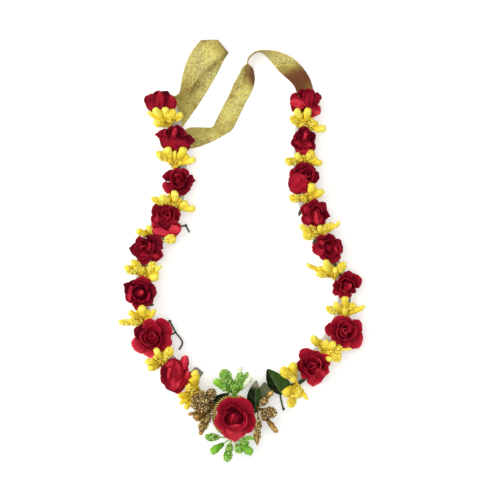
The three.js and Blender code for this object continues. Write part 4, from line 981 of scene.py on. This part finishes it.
rim = rope.apply(carrier, "cord_rim_twist", Material=finishes["cord"], **rimSizes)
bpy.data.objects.remove(carrier)
for vertex in rim.data.vertices:
    vertex.co += rimPlace
settle(rim, "rim_cord", "cord_rim")
print("rim and glitter ready")


# Leaves, stems, bands and ribbon.
# A leaf's tone is painted light and shade, given for its left and its right half.
leaves = {
    "leaf_upright": {"foot": (8.7, -101), "tip": (9.3, -80.2), "low": 4.6, "high": 8, "wide": (5.6, 3),
                     "fold": 1.6, "tone": (0.02, 0.3), "pale": 0.74},
    "leaf_behind": {"foot": (15.2, -93), "tip": (14.3, -81.6), "low": 4.3, "high": 4.6, "wide": (4.2, 4.2),
                    "fold": 0.6, "tone": (0.5, 0.6), "pale": -0.2},
    "leaf_broad": {"foot": (25, -89.3), "tip": (16, -73.3), "low": 4.6, "high": 6.8, "wide": (4.6, 8.2),
                   "fold": 2, "tone": (0.0, 0.6), "pale": 2, "skew": (0.9, 0.5)},
    "leaf_left": {"foot": (-7.8, -88.8), "tip": (-23.9, -98.4), "low": 0.36, "high": 0.36, "wide": (2.9, 2.9),
                  "fold": 0, "tone": (0.05, 0.05), "pale": 2},
}
leafSizes = {
    "tipWidth": 0.06, "rib": 0.12, "midrib": 9, "ribs": 22, "slant": 7, "sideRib": 0.6, "palest": 0.7,
    "paleEdge": 8, "faint": 0.45,
}


def makeLeaf(name, foot, tip, low, high, wide, fold, tone, pale, skew=(0.9, 0.9)):
    # Where two values are given, they are for the leaf's left and right side.
    sizes = leafSizes
    start, along = Vector(foot), Vector(tip) - Vector(foot)
    over = Vector((along.y, -along.x)).normalized()

    def ribAt(u, v):
        side = max(0, math.sin(sizes["ribs"] * v - sizes["slant"] * abs(u))) ** 6
        return math.exp(-(u * sizes["midrib"]) ** 2) + sizes["sideRib"] * side

    def spot(u, v):
        side = 0 if u < 0 else 1
        swell = math.sin(math.pi * v ** skew[side]) ** 0.85
        half = wide[side] * (sizes["tipWidth"] + (1 - sizes["tipWidth"]) * swell)
        flat = start + along * v + over * half * u
        height = low + (high - low) * v + fold * u * u * math.sin(math.pi * v) + sizes["rib"] * ribAt(u, v)
        return Vector((flat.x, flat.y, height))

    def paleAt(u, v):
        share = min(1, max(0, (v - pale) * sizes["paleEdge"]))
        return sizes["palest"] * share * (1 if pale > 0 else sizes["faint"])

    shape = Shape()
    addGrid(shape, *grids["leaf"], spot, tone=lambda u, v: tone[0 if u < 0 else 1], vein=ribAt, pale=paleAt)
    return settle(shape.build(name + "_cloth", finishes["leaf"]), "leaf_cloth", name)


for name, spec in leaves.items():
    makeLeaf(name, **spec)

stems = {
    "stem_left": [(-49.3, 86.8, 2.4), (-44.8, 77.5, 1.4), (-40.7, 66.8, 1.1), (-39.4, 52, 0.2),
                  (-38.8, 41, 0), (-42, 28, 0), (-47.2, 16.4, 0), (-53.4, 7, 0), (-58.6, 0, 0),
                  (-61.8, -14, 0), (-63.4, -26.4, 0), (-61.4, -41, 0), (-56, -55.4, 0), (-49.4, -66, 0),
                  (-38.8, -75.8, 0), (-27, -87, 0), (-16.5, -95.4, 0), (-6.6, -101.6, 0)],
    "stem_right": [(39, 86.6, 1.1), (38.8, 77, 0.6), (38.5, 66, 0), (38, 54, 0), (37.2, 44, 0),
                   (40.4, 33, 0), (45.2, 22.4, 0), (48.6, 11, 0), (51.2, 2.6, 0), (58, -9, 0),
                   (64.6, -20.8, 0), (66, -36, 0), (62.6, -51, 0), (55.6, -61, 0), (45.8, -72.8, 0),
                   (36, -82, 0), (26.4, -84.8, 0), (17.7, -87.6, 0), (10.2, -93.4, 0), (-0.4, -102.2, 0)],
}
twigs = {
    "stem_left": [
        [(-47, 17, 2.4), (-38, 15.6, 2.8), (-34.6, 15.8, 4)],
        [(-34.6, 15.8, 4), (-32.4, 11.6, 4.2)],
        [(-56, -55, 2.4), (-44, -52, 2.6), (-41, -50.4, 4)],
        [(-44.6, -43.6, 4.4), (-41, -50.4, 4), (-36.8, -56.6, 3.6), (-38.8, -61.4, 3)],
    ],
    "stem_right": [[(24.6, -85.4, 2.4), (24.2, -90, 3), (25.1, -94.9, 3), (26.1, -98.3, 3)]],
}
knobs = {"stem_left": [(-34.6, 15.8, 4), (-44.6, -43.6, 4.4)], "stem_right": [(26.1, -98.3, 3)]}
# Green cup leaves that show under a rose, each as its two ends and its half width.
sepals = {
    "stem_left": [((-60.6, -32.8, 5.6), (-54.4, -33.4, 5.4), 1.2), ((-50.8, -62, 5.2), (-46.4, -60, 5), 1.2)],
    "stem_right": [((44.4, 4.4, 5), (48.4, 8.8, 5.4), 1.4), ((37.2, 26.4, 5), (35.6, 21.8, 4.6), 1)],
}
stemSizes = {"Radius": 0.00125, "Tape": 0.004, "Ridge": 0.00012}
twigSizes = {"foot": 0.56, "tip": 0.58, "cap": 0.2, "sides": 8, "knob": 1.1, "rings": 8, "knobSides": 12}
taped = Recipe("tapedStem", stemSizes)
given = taped.given
line = taped.node("GeometryNodeMeshToCurve", {}, {"Mesh": given["Geometry"]})
captured = taped.node("GeometryNodeCaptureAttribute", {"domain": "POINT"}, {"Geometry": line})
captured.socket.node.capture_items.new("FLOAT", "Length")
taped.feed(captured.socket.node.inputs["Length"], taped.node("GeometryNodeSplineParameter")["Length"])
tube = taped.node("GeometryNodeCurveToMesh", {}, {
    "Curve": captured, "Profile Curve": taped.circle(given["Radius"], 14), "Fill Caps": True})
lap = (captured["Length"] / given["Tape"]).fraction() * given["Ridge"]
bulge = taped.node("ShaderNodeVectorMath", {"operation": "SCALE"}, {
    0: taped.node("GeometryNodeInputNormal"), "Scale": lap})
taped.deliver(taped.node("GeometryNodeSetPosition", {}, {"Geometry": tube, "Offset": bulge}))


def addTwigs(shape, name):
    sizes = twigSizes
    count = sizes["rings"]
    for twig in twigs[name]:
        points = smoothPath([Vector(p) for p in twig], 6)
        for a, b in zip(points, points[1:]):
            length, cap = (b - a).length, sizes["cap"]
            rings = [(-cap, 0), (-cap / 2, sizes["foot"]), (length, sizes["tip"]), (length + cap, 0)]
            addTurned(shape, a, (b - a).normalized(), rings, sizes["sides"])
    for knob in knobs[name]:
        turns = [math.pi * (count - k) / count for k in range(count + 1)]
        rings = [(math.cos(turn) * sizes["knob"], max(math.sin(turn), 0)) for turn in turns]
        addTurned(shape, Vector(knob), Vector((0, 0, 1)), rings, sizes["knobSides"])
    for start, stop, half in sepals[name]:
        reach = Vector(stop) - Vector(start)
        turns = [math.pi * k / count for k in range(count + 1)]
        rings = [(reach.length * (1 - math.cos(turn)) / 2, half * max(math.sin(turn), 0) ** 0.8)
                 for turn in turns]
        addTurned(shape, Vector(start), reach.normalized(), rings, sizes["knobSides"])


for name, path in stems.items():
    route = smoothPath([Vector((x, y, heights["stem"] + lift)) for x, y, lift in path], 16)
    line = bpy.data.meshes.new("route")
    line.from_pydata([spot * mm for spot in route], [(k, k + 1) for k in range(len(route) - 1)], [])
    holder = link("route", line)
    settle(taped.apply(holder, name + "_tape", Material=finishes["stem"], **stemSizes), "stem_tape", name)
    bpy.data.objects.remove(holder)
    shape = Shape()
    addTwigs(shape, name)
    settle(shape.build(name + "_twigs", finishes["stem"]), "stem_tape")

# The stations of each band as (x, y, z, share of the half width on its left and on its right, darkness).
bands = {
    "band_left": [(-46.6, 95.4, 2.4, 0.8, 0.8, 0), (-43.6, 84, 1.5, 0.9, 0.9, 0), (-40.9, 70, 1.1, 1, 1, 0),
                  (-39.4, 57, 0.9, 1, 0.9, 0), (-39.2, 48, 0, 0.9, 0.9, 0), (-40.4, 34, 0, 0.9, 0.9, 0),
                  (-46.4, 18.6, 0, 0.9, 0.9, 0), (-55.6, 1, 0, 0.8, 0.8, 0), (-61, -14, 0, 0.8, 0.8, 0),
                  (-62.6, -26, 0, 0.8, 0.8, 0), (-59.6, -44, 0, 0.8, 0.8, 0), (-52.4, -58.6, 0, 0.8, 0.8, 0),
                  (-44, -66.8, 0, 0.5, 0.9, 0), (-36.6, -72.4, 0, 0.1, 0.9, 0),
                  (-32.6, -75.6, 0, 0.1, 0.7, 0.6), (-31.6, -76.4, 0, 0.96, 0.6, 0.9),
                  (-26.6, -80, 0, 1, 0.4, 1)],
    "band_right": [(39.2, 95.4, 1.2, 0.8, 0.8, 0), (38.8, 82, 0.9, 0.9, 0.9, 0), (37.8, 72, 0, 0.9, 0.9, 0),
                   (37, 56, 0, 0.9, 0.9, 0), (37.2, 42, 0, 0.9, 0.9, 0), (42, 24, 0, 0.9, 0.9, 0),
                   (50, 5, 0, 0.8, 0.8, 0), (59, -11, 0, 0.8, 0.8, 0), (64, -26, 0, 0.8, 0.8, 0),
                   (61.6, -43, 0, 0.8, 0.9, 0), (52.6, -58.4, 0, 0.8, 0.9, 0), (41.6, -70.6, 0, 0.7, 0.8, 0),
                   (33, -78.6, 0, 0.6, 0.6, 0)],
}
bandSizes = {"width": 10.6, "thickness": 0.5, "columns": 9, "steps": 8, "above": 0.4}


def makeStrip(name, node, slot, finish, sizes, rows, across, tones):
    # A woven strip from its rows of points, with their places across it; its length runs down the middle.
    middle = sizes["columns"] // 2
    gone, along = 0.0, []
    for i, row in enumerate(rows):
        gone += (row[middle] - rows[i - 1][middle]).length if i else 0
        along.append([gone] * sizes["columns"])
    shape = Shape()
    addSheet(shape, rows, sizes["thickness"], across=across, along=along, tone=tones)
    piece = settle(shape.build(name, finishes[finish]), slot, node)
    print(name, "length", round(gone, 1))


def makeBand(name, path):
    sizes = bandSizes
    line = smoothPath([Vector((x, y, lift + sizes["above"])) for x, y, lift, *_ in path], sizes["steps"])
    shares = smoothPath([Vector(spot[3:]) for spot in path], sizes["steps"])
    rows, across, tones = [], [], []
    for i, spot in enumerate(line):
        spot.z = max(spot.z, sizes["above"])
        ahead, behind = line[min(i + 1, len(line) - 1)], line[max(i - 1, 0)]
        along = (ahead - behind).normalized()
        over = Vector((along.y, -along.x, 0)).normalized() * sizes["width"] / 2
        left, right, dark = shares[i]
        steps = [2 * j / (sizes["columns"] - 1) - 1 for j in range(sizes["columns"])]
        steps = [u * (left if u < 0 else right) for u in steps]
        rows.append([spot + over * u for u in steps])
        across.append([u * sizes["width"] / 2 for u in steps])
        tones.append([min(1, max(0, dark))] * len(steps))
    makeStrip(name + "_weave", name, "backing_band", "band", sizes, rows, across, tones)


for name, path in bands.items():
    makeBand(name, path)

# The ribbon's two edges, station by station, how far painted shade and dark reflection turn each edge brown
# (below zero it gets more painted glints), and the point where it bulges between them, if it does.
ribbonStations = [
    ((-46.2, 94.9, 1.5), (-41.9, 86.2, 1.5), 0.3, 0.1),
    ((-39.4, 97.7, 1.7), (-34.4, 91.8, 1.9), 0.5, 0.2),
    ((-37.9, 102.3, 2), (-31.3, 101.1, 5), 0.45, 0.1),
    ((-36.3, 111, 2.4), (-25.7, 108.5, 4.4), 0.0, -0.2),
    ((-33, 120.4, 3.6), (-19.2, 115.2, 4.4), -0.2, -0.5),
    ((-29, 126.8, 4.2), (-14.0, 119.0, 4.6), -0.2, 0.1, (-21, 125.4, 4.6)),
    ((-25.6, 130.6, 3.8), (-8.8, 122.8, 4), 0.2, 0.8, (-15.4, 130.6, 4.2)),
    ((-25.4, 130.6, 1.7), (-8.6, 122.8, 1.7), 0.6, 0.8, (-15.2, 130.6, 1.9)),
    ((-26, 124, 0.5), (-11, 119, 0.5), 0.3, 0, (-18, 123, 0.5)),
    ((-25.7, 117.8, 0.35), (-14, 112.8, 0.35), -0.6, -0.3),
    ((-30.7, 108.5, 0.35), (-20.2, 101.7, 0.35), 0.0, -0.4),
    ((-38.8, 96.4, 0.35), (-28.2, 89.3, 0.35), 0.1, 0),
    ((-46.2, 85.6, 0.35), (-35.7, 78.7, 0.35), 0, 0),
    ((-48.1, 77.5, 0.35), (-38.1, 75.6, 0.35), 0, 0),
    ((-44.3, 68.2, 0.35), (-37.5, 75, 0.35), 0, 0),
    ((-36.9, 63.9, 0.35), (-35.7, 75.3, 0.35), 0, 0),
    ((-28.2, 64.5, 0.35), (-31.9, 76.9, 1.6), -0.2, 0.3),
    ((-18.3, 68.2, 0.35), (-23.9, 76.9, 2.4), -0.3, 0.3),
    ((-11.5, 71.9, 0.35), (-18.3, 77.2, 2), 0, 0.3),
    ((-5.9, 75.6, 0.35), (-15.8, 81.8, 1), 0.15, 0),
    ((-1.9, 83.1, 0.35), (-12.1, 89.3, 0.6), 0.1, -0.2),
    ((2.2, 91.8, 0.35), (-8.4, 96.1, 0.8), -0.3, 0),
    ((6.5, 99.8, 0.35), (-4.7, 104.2, 4), 0.1, -0.2),
    ((8.1, 106, 0.4), (-1.4, 109.9, 6.5), 1.3, -0.3),
    ((7.9, 110.5, 0.4), (-0.2, 112.4, 8.4), 1.4, -0.2),
    ((6.8, 114.2, 0.4), (1.4, 114.4, 9.6), 1.1, 0.2),
    ((4.4, 116.4, 0.6), (3.6, 116, 11), 0.5, 0.5),
    ((4.2, 118.3, 0.6), (3.6, 118, 11.6), 0.4, 0.4),
    ((5.6, 120.8, 0.6), (5, 120.5, 12), 0.35, 0.35),
    ((8.2, 123, 0.6), (7.9, 122.8, 12), 0.35, 0.3),
    ((10.8, 123.9, 0.5), (11, 124, 12), 0.3, 0.2),
    ((13.8, 122.8, 0.4), (16.6, 124.2, 11), -0.1, 0.3),
    ((17.4, 119.1, 0.4), (23.8, 123.2, 8.6), -0.6, 0.1),
    ((22.3, 113.2, 0.4), (31, 120.4, 5), 0.3, -0.5),
    ((26.6, 109, 0.4), (36.3, 116.1, 2.4), 0.9, 0.6),
    ((30.4, 105.6, 0.35), (40.4, 111.2, 1), 1, 1),
    ((33.2, 101.9, 0.35), (43.4, 105.4, 0.5), 1, 0.9),
    ((34.9, 96.4, 0.35), (45.3, 97.2, 0.35), 0.9, 0.6),
    ((34.8, 90, 0.35), (45.6, 89.6, 0.35), 0.6, 0.5),
]
ribbonSizes = {"width": 12.7, "thickness": 0.36, "columns": 11, "steps": 5, "above": 0.02}


def makeRibbon():
    sizes = ribbonSizes
    lowest = sizes["thickness"] / 2 + sizes["above"]
    stations = []
    for left, right, leftTone, rightTone, *bulge in ribbonStations:
        ends = [Vector(left), Vector(right)]
        middle = Vector(bulge[0]) if bulge else (ends[0] + ends[1]) / 2
        stations.append((ends[0], middle, ends[1], Vector((leftTone, rightTone))))
    *lines, edgeShades = [smoothPath([station[k] for station in stations], sizes["steps"]) for k in range(4)]
    shares = [j / (sizes["columns"] - 1) for j in range(sizes["columns"])]
    rows = [[a.lerp(b, 2 * u) if u < 0.5 else b.lerp(c, 2 * u - 1) for u in shares]
            for a, b, c in zip(*lines)]
    for row in rows:
        for point in row:
            point.z = max(point.z, lowest)
    across = [[sizes["width"] * u for u in shares] for row in rows]
    tones = [[edgeShade.x * (1 - u) + edgeShade.y * u for u in shares] for edgeShade in edgeShades]
    makeStrip("ribbon_weave", "ribbon", "ribbon_cloth", "ribbon", sizes, rows, across, tones)


makeRibbon()

# Floor, light and camera. The photo has its size and the place of the frame's origin in pixels, and the
# millimetres that a pixel spans.
photo = {"width": 499, "height": 500, "originX": 241.5, "originY": 251, "pixel": 0.62}
stageSizes = {"size": 3.0, "colour": (0.93, 0.93, 0.93, 1), "glow": 0.3, "world": 0.5}
white = (1, 1, 1, 1)
edge = stageSizes["size"] / 2
floorMesh = bpy.data.meshes.new("floor")
corners = [(-edge, -edge, 0), (edge, -edge, 0), (edge, edge, 0), (-edge, edge, 0)]
floorMesh.from_pydata(corners, [], [(0, 1, 2, 3)])
floor = link("floor", floorMesh)
floorFinish = Finish("paleFloor", Base=stageSizes["colour"], Roughness=0.9, Specular=0.1)
floorFinish.shader.inputs["Emission Color"].default_value = white
floorFinish.shader.inputs["Emission Strength"].default_value = stageSizes["glow"]
floorMesh.materials.append(floorFinish.material)

lights = {
    "overhead": {"place": (0.0, 0.1, 1.3), "size": 1.2, "power": 7.5},
    "window": {"place": (-0.8, 0.1, 0.6), "size": 0.5, "power": 5.0},
}
for name, spec in lights.items():
    data = bpy.data.lights.new(name, "AREA")
    data.size, data.energy = spec["size"], spec["power"]
    lamp = link(name, data)
    lamp.location = spec["place"]
    lamp.rotation_euler = (-Vector(spec["place"])).to_track_quat("-Z", "Y").to_euler()
bpy.context.scene.view_settings.view_transform = "Standard"
world = bpy.data.worlds.new("studio")
world.use_nodes = True
background = world.node_tree.nodes["Background"]
background.inputs["Color"].default_value = white
background.inputs["Strength"].default_value = stageSizes["world"]
bpy.context.scene.world = world

# The camera's height and the height at which the photo's scale is taken, in metres, and the sensor's width.
view = {"height": 1.4, "focus": 0.008, "sensor": 36.0}
pixel = photo["pixel"] * mm
cameraData = bpy.data.cameras.new("camera")
cameraData.sensor_width = view["sensor"]
cameraData.lens = view["sensor"] * (view["height"] - view["focus"]) / (photo["height"] * pixel)
camera = link("camera", cameraData)
camera.location = ((photo["width"] / 2 - photo["originX"]) * pixel,
                   (photo["originY"] - photo["height"] / 2) * pixel, view["height"])
bpy.context.scene.camera = camera
print("stage ready")
